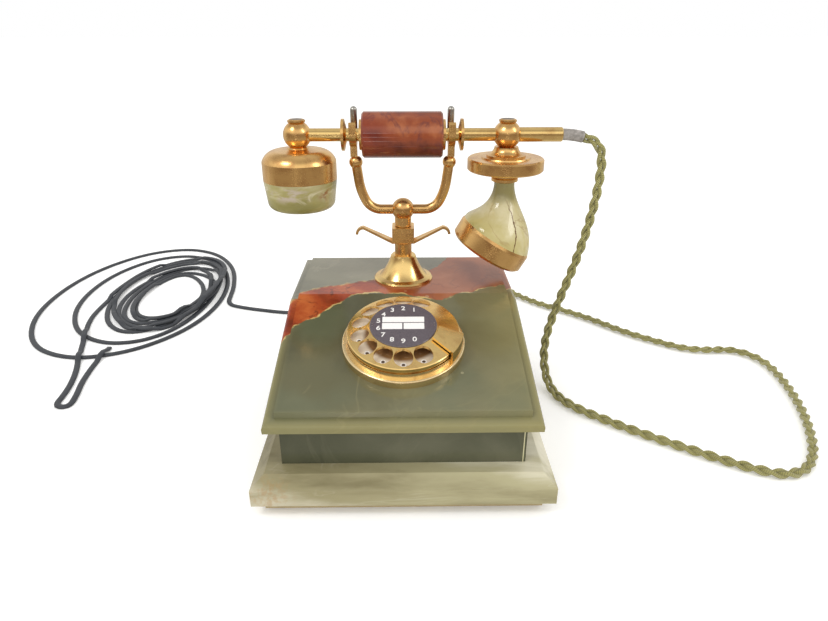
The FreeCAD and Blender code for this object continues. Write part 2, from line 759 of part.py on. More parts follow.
# Drive gear on the dial shaft, and the governor that it turns
gear_low = case_low + 2 * case_wall + case_wall
tilted(solid("drive_gear", gear_shape(gear_teeth, shaft_radius.value, gear_low.value, gear_thick.value, 0)))
pinion_thick = gear_thick + 2 * mesh_gap
pinion = gear_shape(pinion_teeth, 0, gear_low.value, pinion_thick.value, 180 + 180 / pinion_teeth)
pivot = Part.makeCylinder(pivot_radius.value, (gear_low - case_low).value, Vector(0, 0, case_low.value))
weight_low = (gear_low + pinion_thick).value
weight = Part.makeCylinder(weight_radius.value, case_wall.value * 2, Vector(0, 0, weight_low))
tilted(solid("governor", pinion.fuse([pivot, weight]).removeSplitter()), governor_at)

# Pulse contacts: two leaf springs in a block on the case floor
contacts_at = -case_radius + case_wall + contact_wide
contact_block = box("contact_block", contact_wide, contact_deep, contact_tall, contacts_at, 0, case_low + case_wall)
leaf_low = case_low + case_wall + contact_tall
leaf_apart = contact_wide / 4
leaves = [box(f"leaf_{number}", leaf_thick, contact_deep * 0.8, contact_tall / 2, contacts_at + leaf_apart * number,
              0, leaf_low) for number in (0, 1)]
tilted(keep("pulse_contacts", fused("pulse_contacts", [contact_block] + leaves)))


def turned_at(label, outline, across, back):
    """A body turned about an upright axis."""
    return keep(label, place(turned(label, outline), across, back))


# Pedestal bell: a flange and a hollow-sided cone, on the shelf
bell_top = shelf_top + bell_tall
rim_corner = foot_rim / 3
bell_low = shelf_top + foot_rim
turned_at("pedestal_bell", [
    (column_radius, shelf_top), (foot_radius, shelf_top), (foot_radius, shelf_top + rim_corner),
    (foot_radius - rim_corner, shelf_top + 2 * rim_corner), (bell_low_radius, bell_low),
    Via((bell_low_radius * 0.73, shelf_top + bell_tall * 0.5), (bell_top_radius, bell_top - rim_corner)),
    (bell_top_radius - rim_corner, bell_top), (column_radius, bell_top)], 0, pedestal_back)

# Column tube, through the shelf, with the plunger's bore
column_top = shelf_top + column_tall
plunger_bore = plunger_radius + running_fit
column_low = shelf_low - column_below
turned_at("column_tube", [
    (plunger_bore, column_low), (column_radius, column_low), (column_radius, column_top), (plunger_bore, column_top)],
    0, pedestal_back)

# Nut that clamps the pedestal under the shelf
nut_corner = nut_across / 2 / cos_of(30)
nut_outline = [polar(nut_corner, 60 * side) for side in range(6)]
nut = extruded("pedestal_nut", "XY_Plane", nut_outline, nut_thick, circles=[(column_radius, 0, 0)])
keep("pedestal_nut", place(nut, 0, pedestal_back, shelf_low - nut_thick))

# Horn strip: a curled brass strip between column and block, narrower towards its tips
horn_low = column_top
block_low = horn_low + horn_thick
curl = horn_reach * 0.12
curl_turn = 1 - math.sqrt(0.5)
curl_top = horn_low + horn_rise
curl_out = horn_reach + horn_thick
strip_low = [
    (-horn_reach, curl_top - curl),
    Via((-horn_reach + curl * curl_turn, curl_top - curl * curl_turn), (-horn_reach + curl, curl_top)),
    (-block_side / 2, horn_low), (block_side / 2, horn_low), (horn_reach - curl, curl_top),
    Via((horn_reach - curl * curl_turn, curl_top - curl * curl_turn), (horn_reach, curl_top - curl))]
curl_wide = curl + horn_thick
strip_high = [
    (curl_out, curl_top - curl),
    Via((curl_out - curl_wide * curl_turn, curl_top + horn_thick - curl_wide * curl_turn),
        (horn_reach - curl, curl_top + horn_thick)),
    (block_side / 2, block_low), (-block_side / 2, block_low), (-horn_reach + curl, curl_top + horn_thick),
    Via((-curl_out + curl_wide * curl_turn, curl_top + horn_thick - curl_wide * curl_turn),
        (-curl_out, curl_top - curl))]
strip = extruded("horn_side", "XZ_Plane", strip_low + strip_high, horn_wide)
place(strip, 0, pedestal_back + horn_wide / 2)
horn_plan = extruded("horn_plan", "XY_Plane", [
    (-curl_out, -horn_tip_wide / 2), (-block_side / 2, -horn_wide / 2), (block_side / 2, -horn_wide / 2),
    (curl_out, -horn_tip_wide / 2), (curl_out, horn_tip_wide / 2), (block_side / 2, horn_wide / 2),
    (-block_side / 2, horn_wide / 2), (-curl_out, horn_tip_wide / 2)],
    horn_rise * 3, circles=[(plunger_bore, 0, 0)])
place(horn_plan, 0, pedestal_back, horn_low - horn_rise)
horns = doc.addObject("Part::Common", "horn_strip")
horns.Base = strip
horns.Tool = horn_plan
keep("horn_strip", horns)

# Square guide block on top of the strip
block_top = block_low + block_tall
guide = extruded("guide_block", "XY_Plane", rectangle(block_side, block_side), block_tall,
                 circles=[(plunger_bore, 0, 0)])
add_round(guide, guide.Tip, lambda edge: abs(edge.BoundBox.ZLength - block_tall.value) < 1e-3
          and len(edge.Vertexes) == 2 and edge.Length < block_tall.value + 1e-3, block_side / 12)
keep("guide_block", place(guide, 0, pedestal_back, block_low))

# Plunger rod and fork hub, which the handset's weight holds down
neck_low = block_top + hook_gap
hub_middle = block_top + hub_rise
neck_meets = hub_middle - root_of(hub_radius * hub_radius - neck_radius * neck_radius)
hook_travel = size("hook_travel", 4)
plunger_low = column_low - hook_travel - hook_gap
turned_at("plunger_rod", [
    (0, plunger_low), (plunger_radius, plunger_low), (plunger_radius, neck_low), (0, neck_low)], 0, pedestal_back)
hub_turn = turned("hub_turn", [
    (0, neck_low), (neck_radius, neck_low), (neck_radius, neck_meets),
    Via((hub_radius, hub_middle), (0, hub_middle + hub_radius))])
place(hub_turn, 0, pedestal_back)
arm_start = hub_radius - arm_radius / 2
arm_holes = []
for side in (-1, 1):
    arm_holes.append(cylinder(f"arm_hole_{side + 1}", arm_radius, hub_radius, arm_start * side, pedestal_back,
                              hub_middle, (0, 1, 0), 90 * side))
keep("fork_hub", cut("fork_hub", hub_turn, fused("arm_holes", arm_holes)))


def tube_wire(points, share=0.45):
    """Straight runs through the points, joined by the largest tangent arcs that the runs allow."""
    edges = []
    radii = []
    start = points[0]
    for before, corner, after in zip(points, points[1:], points[2:]):
        inward = (corner - before).normalize()
        outward = (after - corner).normalize()
        half = inward.getAngle(outward) / 2
        reach = share * min((corner - before).Length, (after - corner).Length)
        radius = reach / math.tan(half)
        bisector = (outward - inward).normalize()
        middle = corner + bisector * (radius / math.cos(half) - radius)
        entry, leave = corner - inward * reach, corner + outward * reach
        edges.append(Part.LineSegment(start, entry).toShape())
        edges.append(Part.Arc(entry, middle, leave).toShape())
        radii.append(radius)
        start = leave
    edges.append(Part.LineSegment(start, points[-1]).toShape())
    return Part.Wire(edges), radii


def swept(wire, radius):
    """A round solid along a path, whose volume has to be its section times its length."""
    first = wire.Edges[0]
    heading = first.tangentAt(first.FirstParameter)
    section = Part.Wire(Part.makeCircle(radius, first.valueAt(first.FirstParameter), heading))
    shape = wire.makePipeShell([section], True, False)
    expected = math.pi * radius * radius * wire.Length
    if abs(shape.Volume / expected - 1) > 0.01:
        raise RuntimeError(f"a tube has {shape.Volume:.0f} mm3 and should have {expected:.0f}")
    return shape


# Fork arms: tubes that leave the hub level and curve up to a knuckle ball
back = pedestal_back.value
knuckle_middle = hub_middle + knuckle_rise
knuckle_out = fork_half - knuckle_inset
yoke_low = knuckle_middle + knuckle_radius * 0.86
crown_side = 4 * knuckle_radius.value
arms = []
for side in (-1, 1):
    low = hub_middle.value
    knuckle_spot = Vector(knuckle_out.value * side, back, knuckle_middle.value)
    arm_route = [Vector(arm_start.value * side, back, low), Vector(arm_low_out.value * side, back, low),
                 Vector(arm_mid_out.value * side, back, low + arm_mid_rise.value), knuckle_spot]
    arm_tube = swept(tube_wire(arm_route, 0.49)[0], arm_radius.value)
    knuckle = Part.makeSphere(knuckle_radius.value, knuckle_spot)
    crown_corner = Vector(knuckle_spot.x - crown_side / 2, back - crown_side / 2, yoke_low.value)
    crown = Part.makeBox(crown_side, crown_side, crown_side, crown_corner)
    arms.append(arm_tube.fuse(knuckle).cut(crown).removeSplitter())
solid("fork_arms", Part.Compound(arms))

# Yokes: flat forks on the knuckles that hold the rod, each with a taller round pin at the back
yoke_middle = handset_axis - rod_radius - rest_gap + yoke_inner
yoke_outer = yoke_inner + prong_thick
yoke_side = yoke_outer * math.sqrt(0.5)
stem = prong_thick * 0.8
prong_top = handset_axis + front_prong_rise
pin_low = yoke_middle
stem_meets = yoke_middle - root_of(yoke_outer * yoke_outer - stem * stem)
pins = []
yokes = []
for side in (-1, 1):
    yoke = extruded(f"yoke_{side + 1}", "YZ_Plane", [
        (-stem, yoke_low), (stem, yoke_low), (stem, stem_meets),
        Via((yoke_side, yoke_middle - yoke_side), (yoke_outer, yoke_middle)),
        (yoke_inner, yoke_middle), Via((0, yoke_middle - yoke_inner), (-yoke_inner, yoke_middle)),
        (-yoke_inner, prong_top - prong_thick / 2), (-yoke_inner - prong_thick / 2, prong_top),
        (-yoke_outer, prong_top - prong_thick / 2), (-yoke_outer, yoke_middle),
        Via((-yoke_side, yoke_middle - yoke_side), (-stem, stem_meets))], prong_wide)
    yokes.append(place(yoke, fork_half * side - prong_wide / 2, pedestal_back))
    pin_top = handset_axis + back_prong_rise
    pin = turned(f"pin_{side + 1}", [
        (0, pin_low), (pin_radius, pin_low), (pin_radius, pin_top - pin_radius),
        Via((pin_radius * math.sqrt(0.5), pin_top - pin_radius + pin_radius * math.sqrt(0.5)), (0, pin_top))])
    pins.append(place(pin, fork_half * side, pedestal_back + yoke_inner + prong_thick / 2 + rest_gap * 2))
keep("yokes", group("yokes", yokes))
keep("back_pins", group("back_pins", pins))

# Handset grip and rod
grip = turned("grip", [
    (rod_radius, -grip_half), (grip_radius - edge_round / 2, -grip_half), (grip_radius, -grip_half + edge_round / 2),
    (grip_radius, grip_half - edge_round / 2), (grip_radius - edge_round / 2, grip_half), (rod_radius, grip_half)])
on_axis(keep("grip", grip))
rod_end = ball_at - socket_deep
on_axis(keep("handset_rod", turned("handset_rod", [
    (0, -rod_end), (rod_radius, -rod_end), (rod_radius, rod_end), (0, rod_end)])))

# Thin discs: two flat ones against the grip, two dished ones outside the fork
flat_discs = []
dished_discs = []
for side in (-1, 1):
    near, far = grip_half * side, (grip_half + washer_thick) * side
    flat_discs.append(on_axis(turned(f"washer_{side + 1}", [
        (rod_radius, near), (washer_radius, near), (washer_radius, far), (rod_radius, far)])))
    near, far = stop_disc_at * side, (stop_disc_at + washer_thick) * side
    dish = stop_disc_dish * side
    dished_discs.append(on_axis(turned(f"dished_{side + 1}", [
        (rod_radius, near), (washer_radius / 2, near), (stop_disc_radius, near + dish),
        (stop_disc_radius, far + dish), (washer_radius / 2, far), (rod_radius, far)])))
keep("grip_washers", group("grip_washers", flat_discs))
keep("stop_discs", group("stop_discs", dished_discs))

# Ball joints at the rod's ends, bored for the rod and the tail, with slotted cap screws
ball_waist = root_of(ball_radius * ball_radius - ball_flat * ball_flat)
balls = []
caps = []
for side, name in ((-1, "ear"), (1, "mouth")):
    ball = turned(f"{name}_sphere", [
        (0, -ball_flat), (ball_waist, -ball_flat), Via((ball_radius, as_size(0)), (ball_waist, ball_flat)),
        (0, ball_flat)])
    place(ball, ball_at * side, pedestal_back, handset_axis)
    bores = [cylinder(f"{name}_rod_bore", rod_radius, ball_radius, rod_end * side, pedestal_back, handset_axis,
                      (0, 1, 0), -90 * side)]
    if side > 0:
        bores.append(cylinder("tail_bore", tail_radius, ball_radius, ball_at + socket_deep, pedestal_back,
                              handset_axis, (0, 1, 0), 90))
    balls.append(cut(f"{name}_ball", ball, fused(f"{name}_bores", bores) if side > 0 else bores[0]))
    cap = turned(f"{name}_cap_turn", [
        (0, ball_flat), (cap_radius - cap_tall / 4, ball_flat), (cap_radius, ball_flat + cap_tall / 3),
        (cap_radius, ball_flat + cap_tall * 0.7), (cap_radius * 0.8, ball_flat + cap_tall),
        (0, ball_flat + cap_tall)])
    place(cap, ball_at * side, pedestal_back, handset_axis)
    slot = box(f"{name}_slot", cap_radius * 2.2, slot_wide, slot_deep, ball_at * side, pedestal_back,
               handset_axis + ball_flat + cap_tall - slot_deep)
    caps.append(cut(f"{name}_cap", cap, slot))
keep("ball_joints", group("ball_joints", balls))
keep("cap_screws", group("cap_screws", caps))

# Receiver: brass dome, onyx cup and the capsule in it
ear = -ball_at
dome_top = handset_axis - ball_flat
dome_low = dome_top - dome_tall
skirt_top = dome_top - dome_shoulder
collar_edge = dome_shoulder * 0.1
shoulder_in = receiver_radius * 0.65
shoulder_out = receiver_radius * 0.855
turned_at("receiver_dome", [
    (0, dome_top), (dome_collar - collar_edge, dome_top), (dome_collar, dome_top - collar_edge),
    (shoulder_in, dome_top - dome_shoulder * 0.2),
    Via((shoulder_out, dome_top - dome_shoulder * 0.44), (receiver_radius, skirt_top)), (receiver_radius, dome_low),
    (receiver_radius - dome_shell, dome_low), (receiver_radius - dome_shell, skirt_top),
    Via((shoulder_out - dome_shell * 0.7, dome_top - dome_shoulder * 0.44 - dome_shell * 0.7),
        (shoulder_in, dome_top - dome_shoulder * 0.2 - dome_shell)),
    (0, dome_top - dome_shoulder * 0.2 - dome_shell)], ear, pedestal_back)
cup_low = dome_low - cup_tall
cup_bottom = receiver_radius - cup_taper
cup_inner = receiver_radius - cup_wall
cup_floor = cup_low + cup_wall
cup_turn = cup_round * (1 - math.sqrt(0.5))
cup = turned("receiver_cup", [
    (0, cup_low), (cup_bottom - cup_round, cup_low),
    Via((cup_bottom - cup_turn, cup_low + cup_turn), (cup_bottom, cup_low + cup_round)),
    (receiver_radius, dome_low), (cup_inner, dome_low), (cup_inner, cup_floor), (0, cup_floor)])
sound_holes = [(sound_hole, 0, 0)]
for number in range(6):
    spot = polar(sound_circle, 60 * number)
    sound_holes.append((sound_hole, spot[0], spot[1]))
add_cut(cup, "XY_Plane", [], cup_floor, name="sound_holes", reverse=True, circles=sound_holes)
keep("receiver_cup", place(cup, ear, pedestal_back))
capsule_radius = cup_inner - rest_gap
turned_at("receiver_capsule", [
    (0, cup_floor), (capsule_radius, cup_floor), (capsule_radius, cup_floor + capsule_tall / 2),
    (capsule_radius * 0.7, cup_floor + capsule_tall), (0, cup_floor + capsule_tall)], ear, pedestal_back)

# Mouthpiece top: a deep-rimmed disc with a raised ring and a flared neck, and a collar below
mouth = ball_at
disc_low = dome_top - disc_top_tall - disc_rim_tall
disc_rim = disc_low + disc_rim_tall
neck = disc_neck_radius
turned_at("mouth_disc", [
    (0, disc_low), (disc_radius - disc_edge, disc_low), (disc_radius, disc_low + disc_edge),
    (disc_radius, disc_rim - disc_edge), (disc_radius - disc_edge, disc_rim), (disc_ring_radius, disc_rim),
    (disc_ring_radius - disc_edge / 2, disc_rim + disc_edge), (disc_flare_radius, disc_rim + disc_edge),
    (disc_flare_radius, disc_rim + disc_edge * 2.4),
    Via((neck * 1.18, dome_top - disc_top_tall * 0.44), (neck, dome_top)), (0, dome_top)], mouth, pedestal_back)
collar_low = disc_low - collar_tall
collar_waist = collar_radius - disc_edge
turned_at("mouth_collar", [
    (0, collar_low), (bell_neck_radius, collar_low), (collar_radius, collar_low + disc_edge),
    (collar_radius, collar_low + collar_tall / 3), (collar_waist, collar_low + collar_tall / 3 + disc_edge),
    (collar_waist, disc_low), (0, disc_low)], mouth, pedestal_back)

# Pear-shaped onyx mouthpiece: a loft of circles that lean further as they widen
mouth_drop = collar_low - ring_up
shares = ((0, 0, 0), (0.2, 0.05, 0.05), (0.48, 0.33, 0.28), (0.74, 0.74, 0.62), (1, 1, 1))
lean_over = mouth - ring_across
sections = []
for number, (down, wider, lean) in enumerate(shares):
    circle = doc.addObject("Part::Circle", f"bell_section_{number}")
    bind(circle, "Radius", bell_neck_radius + (ring_radius - ring_wall / 2 - bell_neck_radius) * wider)
    place(circle, mouth - lean_over * lean * lean, pedestal_back, collar_low - mouth_drop * down, (0, 1, 0),
          ring_tilt * lean)
    sections.append(circle)
bell = doc.addObject("Part::Loft", "mouth_bell")
bell.Sections = sections
bell.Solid = True
bell.Ruled = False
keep("mouth_bell", bell)

# Tilted brass ring that closes the mouthpiece, with its grille and the transmitter capsule
def on_ring(thing):
    """Sets an object on the mouthpiece's leaning axis, its z away from the grille."""
    return place(thing, ring_across - ring_tall * sin_of(ring_tilt), pedestal_back,
                 ring_up - ring_tall * cos_of(ring_tilt), (0, 1, 0), ring_tilt)


ring_inner = ring_radius - ring_wall
ring = turned("mouth_ring", [
    (0, 0), (ring_radius - ring_wall, 0), (ring_radius, ring_wall), (ring_radius, ring_tall - ring_wall),
    (ring_radius - ring_wall / 2, ring_tall), (ring_inner, ring_tall), (ring_inner, ring_wall), (0, ring_wall)])
grille = [(sound_hole, 0, 0)]
for circle_number in (1, 2):
    for number in range(6 * circle_number):
        spot = polar(sound_circle * circle_number, 60 / circle_number * number)
        grille.append((sound_hole, spot[0], spot[1]))
add_cut(ring, "XY_Plane", [], ring_wall * 2, name="grille", reverse=True, circles=grille)
on_ring(keep("mouth_ring", ring))
on_ring(keep("transmitter", turned("transmitter", [
    (0, ring_wall), (ring_inner - rest_gap, ring_wall), (ring_inner - rest_gap, ring_tall / 2),
    (ring_inner * 0.7, ring_tall - ring_wall), (0, ring_tall - ring_wall)])))

# Tail tube and the drooping strain relief of the handset cord
tail_start = ball_at + socket_deep
on_axis(keep("tail_tube", turned("tail_tube", [
    (0, tail_start), (tail_radius, tail_start), (tail_radius, tail_end - ring_wall / 4),
    (tail_radius - ring_wall / 4, tail_end), (0, tail_end)])))
droop = math.radians(relief_turn.value)
relief_begin = Vector(tail_end.value, back, handset_axis.value)


def on_droop(turn):
    """A point of the strain relief's bend, and the way that it points there."""
    bend = relief_bend.value
    spot = relief_begin + Vector(bend * math.sin(turn), 0, -bend * (1 - math.cos(turn)))
    return spot, Vector(math.cos(turn), 0, -math.sin(turn))


relief_end, relief_way = on_droop(droop)
relief_path = Part.Wire(Part.Arc(relief_begin, on_droop(droop / 2)[0], relief_end).toShape())
solid("strain_relief", swept(relief_path, relief_radius.value))

# Circuit board with the induction coil and the terminal block
board_low = pan_floor + board_rise
board_top = board_low + board_thick
keep("circuit_board", box("circuit_board", board_wide, board_deep, board_thick, 0, board_back, board_low))
core_at = -board_wide / 2 + core_wide / 2 + board_edge
core = box("coil_core", core_wide, core_deep, core_thick, core_at, board_back, board_top)
winding_low = board_top + core_thick
yoke_plate = box("coil_yoke", core_wide, core_deep, core_thick, core_at, board_back, winding_low + winding_tall)
winding = cylinder("coil_winding", coil_radius, winding_tall, core_at, board_back, winding_low)
keep("induction_coil", fused("induction_coil", [core, winding, yoke_plate]))
terminal_at = board_wide / 2 - terminal_wide / 2 - board_edge / 2
terminal_bar = box("terminal_bar", terminal_wide, terminal_deep, terminal_tall, terminal_at, board_back, board_top)
screw_wells = []
for number in range(terminals):
    well_at = terminal_at + terminal_wide / terminals * (number - (terminals - 1) / 2)
    screw_wells.append(cylinder(f"well_{number}", well_radius, terminal_tall, well_at, board_back,
                                board_top + terminal_tall / 2))
keep("terminal_block", cut("terminal_block", terminal_bar, fused("screw_wells", screw_wells)))

# Ringer: bracket with its coil, two gongs on posts, and the clapper that swings between them
gong_low = pan_floor + gong_rise
gong_top = gong_low + gong_tall
gongs = []
posts = []
for side in (-1, 1):
    gong = turned(f"gong_{side + 1}", [
        (post_radius, gong_top - gong_shell),
        Via((gong_radius * 0.78, gong_top - gong_shell - gong_tall * 0.25), (gong_radius - gong_shell, gong_low)),
        (gong_radius, gong_low), Via((gong_radius * 0.8, gong_top - gong_tall * 0.25), (post_radius, gong_top))])
    gongs.append(place(gong, gong_apart * side, gong_back))
    post = turned(f"post_{side + 1}", [
        (0, pan_floor), (post_radius * 1.6, pan_floor), (post_radius * 1.6, gong_top - gong_shell * 3),
        (post_radius, gong_top - gong_shell), (post_radius, gong_top + gong_shell), (0, gong_top + gong_shell)])
    posts.append(place(post, gong_apart * side, gong_back))
keep("gongs", group("gongs", gongs))
keep("gong_posts", group("gong_posts", posts))
bracket_top = pan_floor + frame_thick
bracket_plate = box("bracket_plate", frame_wide, coil_radius * 2.6, frame_thick, 0, ringer_back, pan_floor)
cheek_at = (frame_wide - frame_thick) / 2
cheeks = [box(f"cheek_{side + 1}", frame_thick, coil_radius * 2, coil_radius * 2.2, cheek_at * side, ringer_back,
              bracket_top) for side in (-1, 1)]
clapper_height = gong_low + gong_tall / 3
post_top = clapper_height - hammer_radius / 2
pivot_post = cylinder("pivot_post", pivot_radius * 2.5, post_top - bracket_top, 0, clapper_back, bracket_top)
pivot_foot = box("pivot_foot", coil_radius, clapper_back - ringer_back + coil_radius, frame_thick, 0,
                 (clapper_back + ringer_back) / 2, pan_floor)
pivot_pin = cylinder("pivot_pin", pivot_radius, hammer_radius * 2, 0, clapper_back, post_top)
keep("ringer_bracket", fused("ringer_bracket", [bracket_plate, pivot_foot, pivot_post, pivot_pin] + cheeks))
coil_height = bracket_top + coil_radius
ringer_long = frame_wide - 2 * frame_thick
keep("ringer_coil", cylinder("ringer_coil", coil_radius, ringer_long, -ringer_long / 2, ringer_back, coil_height,
                             (0, 1, 0), 90))
arm_low = post_top + rest_gap
clapper_eye = cylinder("clapper_eye", pivot_radius * 2.5, hammer_radius, 0, clapper_back, arm_low)
clapper_arm = box("clapper_arm", pivot_radius, clapper_long, hammer_radius / 2, 0, clapper_back + clapper_long / 2,
                  arm_low)
hammer = cylinder("hammer", hammer_radius, hammer_radius, 0, clapper_back + clapper_long, arm_low)
clapper_hole = cylinder("clapper_hole", pivot_radius + running_fit, hammer_radius * 3, 0, clapper_back,
                        arm_low - hammer_radius)
keep("clapper", cut("clapper", fused("clapper_solid", [clapper_eye, clapper_arm, hammer]), clapper_hole))

# Hook switch contacts, hung under the shelf behind the plunger
contact_rise = shelf_low - plunger_low
switch_drop = switch_leaf_apart * 2
switch_at = pedestal_back + switch_back
switch_block = box("switch_block", switch_wide, switch_deep, contact_rise + switch_drop, 0, switch_at,
                   plunger_low - switch_drop)
leaf_at = switch_at - switch_leaf_long / 2 + switch_deep / 4
switch_leaves = []
for number in range(2):
    leaf_down = leaf_thick + rest_gap + switch_leaf_apart * number
    switch_leaves.append(box(f"switch_leaf_{number}", switch_leaf_wide, switch_leaf_long, leaf_thick, 0, leaf_at,
                             plunger_low - leaf_down))
keep("hook_contacts", fused("hook_contacts", [switch_block] + switch_leaves))

# Cord glands in the rear wall
wall_back = wall_deep / 2
glands = []
for side, bore in ((-1, line_cord_radius), (1, handset_cord_radius)):
    gland = turned(f"gland_{side + 1}", [
        (0, -wall_thick), (gland_radius / 2, -wall_thick), (gland_radius / 2, 0), (gland_radius, 0),
        (gland_radius, gland_long / 4), (bore + 1, gland_long), (0, gland_long)])
    glands.append(place(gland, gland_apart * side, wall_back, gland_rise, (1, 0, 0), -90))
keep("cord_glands", group("cord_glands", glands))
gland_face = wall_back + gland_long

# Handset cord: from the strain relief down to the table, out in a wide loop and back to the gland
handset_route = [relief_end + relief_way * cord_gap.value, relief_end + relief_way * 7]
handset_route += [Vector(*spot) for spot in (
    (147, 51.5, 198.5), (149.6, 51.5, 186), (149, 51.5, 171), (147.5, 51.5, 154), (143.5, 51.5, 131),
    (137, 51.5, 104), (129, 51.6, 78),
    (122.5, 51.8, 54), (119.5, 52, 36), (119.2, 49, 19), (120.5, 38, 7.6), (123.5, 22, 3.8),
    (132, 4, 3.7), (150, -13.5, 3.7), (176, -35, 3.7), (210, -59, 3.7), (240, -78, 3.7),
    (259, -84.5, 3.7), (276, -79, 3.7), (291, -61, 3.7), (303, -37, 3.7), (314, -8, 3.7),
    (322, 24, 3.7), (326, 54, 3.7), (325, 74, 3.7), (317.5, 88.5, 3.7), (304, 96.5, 3.7),
    (285, 95, 3.7), (264, 98, 3.7), (243, 113, 3.7), (218, 134, 3.7), (194, 164, 3.7),
    (172, 185, 3.7), (147, 204, 3.7), (126, 230, 3.7), (112, 258, 3.7), (93, 275, 3.7),
    (70, 277, 3.7), (53, 262, 3.7), (46, 240, 3.7), (43.6, 215, 3.7), (43, 196, 3.7),
    (42.5, 178, 4.8), (41.8, 164, 11.5), (41, 153, 24), (40.4, 141, 37))]
handset_route += [Vector(gland_apart.value, gland_face.value + 15, gland_rise.value),
                  Vector(gland_apart.value, gland_face.value, gland_rise.value)]

# Line cord: a lead from its gland, a loose coil in two layers, and a tail doubled back on itself
coil_middle = Vector(-262, 240, 2.7)
coil_outer = 64
coil_step = 6
coil_step_up = 7.8
coil_stretch = 1.85
coil_turns_down = 5
coil_turns_up = 3.5
coil_lift = 5.8
coil_fan = 82
coil_fan_turns = 3.2
coil_first = 0.03
coil_shift = Vector(-6, 14, 0)


def coil_spot(turns):
    """A point of the coil: in on the table from two wide loops, then out again on top, a little to one side."""
    around = 2 * math.pi * (turns + coil_first)
    up_turns = max(0, turns - coil_turns_down)
    radius = coil_outer - coil_step * min(turns, coil_turns_down) + coil_step_up * up_turns
    loose = max(0, 1 - turns / coil_fan_turns)
    radius += coil_fan * loose * ((1 - math.cos(around)) / 2) ** 2
    climb = min(1, max(0, (turns - coil_turns_down + 0.25) * 2))
    raised = climb * climb * (3 - 2 * climb)
    ring_spot = Vector(radius * math.cos(around), coil_stretch * radius * math.sin(around), coil_lift * raised)
    return coil_middle + ring_spot + coil_shift * (up_turns / coil_turns_up)


def coil_way(turns):
    nudge = 1e-4
    return (coil_spot(turns + nudge) - coil_spot(turns - nudge)).normalize()


def biarc(start, start_way, end, end_way):
    """Two arcs that leave the start and reach the end along the given ways."""
    chord = end - start
    ways = start_way + end_way
    scale = 2 * (1 - start_way.dot(end_way))
    along = chord.dot(ways)
    if scale < 1e-9:
        reach = chord.dot(chord) / (2 * along)
    else:
        reach = (-along + math.sqrt(along * along + scale * chord.dot(chord))) / scale
    joint = (start + end + (start_way - end_way) * reach) * 0.5
    edges = []
    for first, last, corner in ((start, joint, start + start_way * reach), (joint, end, end - end_way * reach)):
        half_chord = (first + last) * 0.5
        bulge = corner - half_chord
        half = (last - first).Length / 2
        height = half * math.tan(math.atan2(bulge.Length, half) / 2)
        edges.append(Part.Arc(first, half_chord + bulge.normalize() * height, last).toShape())
    return edges


coil_end = coil_turns_down + coil_turns_up - coil_first
steps = round(coil_end * 8)
marks = [coil_end * number / steps for number in range(steps + 1)]
coil_edges = []
for first, last in zip(marks, marks[1:]):
    coil_edges += biarc(coil_spot(first), coil_way(first), coil_spot(last), coil_way(last))
coil_start, coil_finish = coil_spot(0), coil_spot(coil_end)
entry_way, leave_way = coil_way(0), coil_way(coil_end)
coil_wire = Part.Wire(coil_edges)

lead_route = [Vector(-gland_apart.value, gland_face.value, gland_rise.value),
              Vector(-gland_apart.value, gland_face.value + 15, gland_rise.value)]
lead_route += [Vector(*spot) for spot in (
    (-40.6, 141, 37), (-41.6, 153, 24), (-43, 164, 10.5), (-47, 177, 3.4), (-58, 186, 2.7), (-77, 189.5, 2.7),
    (-102, 188.5, 2.7), (-128, 190, 2.7), (-154, 197, 2.7), (-176, 204, 2.7), (-194, 213, 2.7))]
lead_route += [coil_start - entry_way * 19, coil_start]
tail_route = [coil_finish, coil_finish + leave_way * 20]
tail_route += [Vector(*spot) for spot in (
    (-329, 190, 8.5), (-324, 164, 8.5), (-317, 138, 8.5), (-309, 111, 8.5), (-301, 86, 8.6), (-294, 66, 7.8),
    (-288, 46, 3.2), (-284, 29, 2.7), (-281, 12, 2.7), (-269, 10, 2.7), (-269.5, 28, 2.7), (-271.5, 46, 3.2),
    (-273.5, 67, 8), (-274.5, 88, 8.8), (-275, 112, 8.6))]
for label, route, radius in (
        ("handset_cord", handset_route, handset_cord_radius), ("line_cord_lead", lead_route, line_cord_radius),
        ("line_cord_tail", tail_route, line_cord_radius)):
    wire, radii = tube_wire(route)
    solid(label, swept(wire, radius.value))
    print(label, "length", round(wire.Length), "least radii", [round(r, 1) for r in sorted(radii)[:6]])
solid("line_cord_coil", swept(coil_wire, line_cord_radius.value))


def least_gap(spot_at, end, radius):
    """The least gap of a wound tube to itself, measured on points a little apart along it."""
    spacing = 0.01
    count = int(end / spacing)
    spots = [spot_at(number * spacing) for number in range(count)]
    skip = int(0.4 / spacing)
    gaps = [(spots[i] - spots[j]).Length for i in range(count) for j in range(i + skip, count)]
    return min(gaps) - 2 * radius


print("line_cord_coil length", round(coil_wire.Length), "least gap to itself",
      round(least_gap(coil_spot, coil_end, line_cord_radius.value), 2))

doc.recompute()
for thing in doc.Objects:
    if "Invalid" in thing.State or "Error" in thing.State:
        raise RuntimeError(f"{thing.Label} failed: {thing.State}")
for label, thing in pieces.items():
    if thing.Shape.isNull() or not thing.Shape.isValid() or thing.Shape.Volume < 1e-3:
        raise RuntimeError(f"{label} is not a sound solid")
os.makedirs("parts", exist_ok=True)
for label, thing in pieces.items():
    thing.Shape.exportStep(f"parts/{label}.step")
print(len(pieces), "sub-parts")
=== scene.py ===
import json
import math
from functools import partial

import bpy
import numpy as np
from mathutils import Matrix, Vector


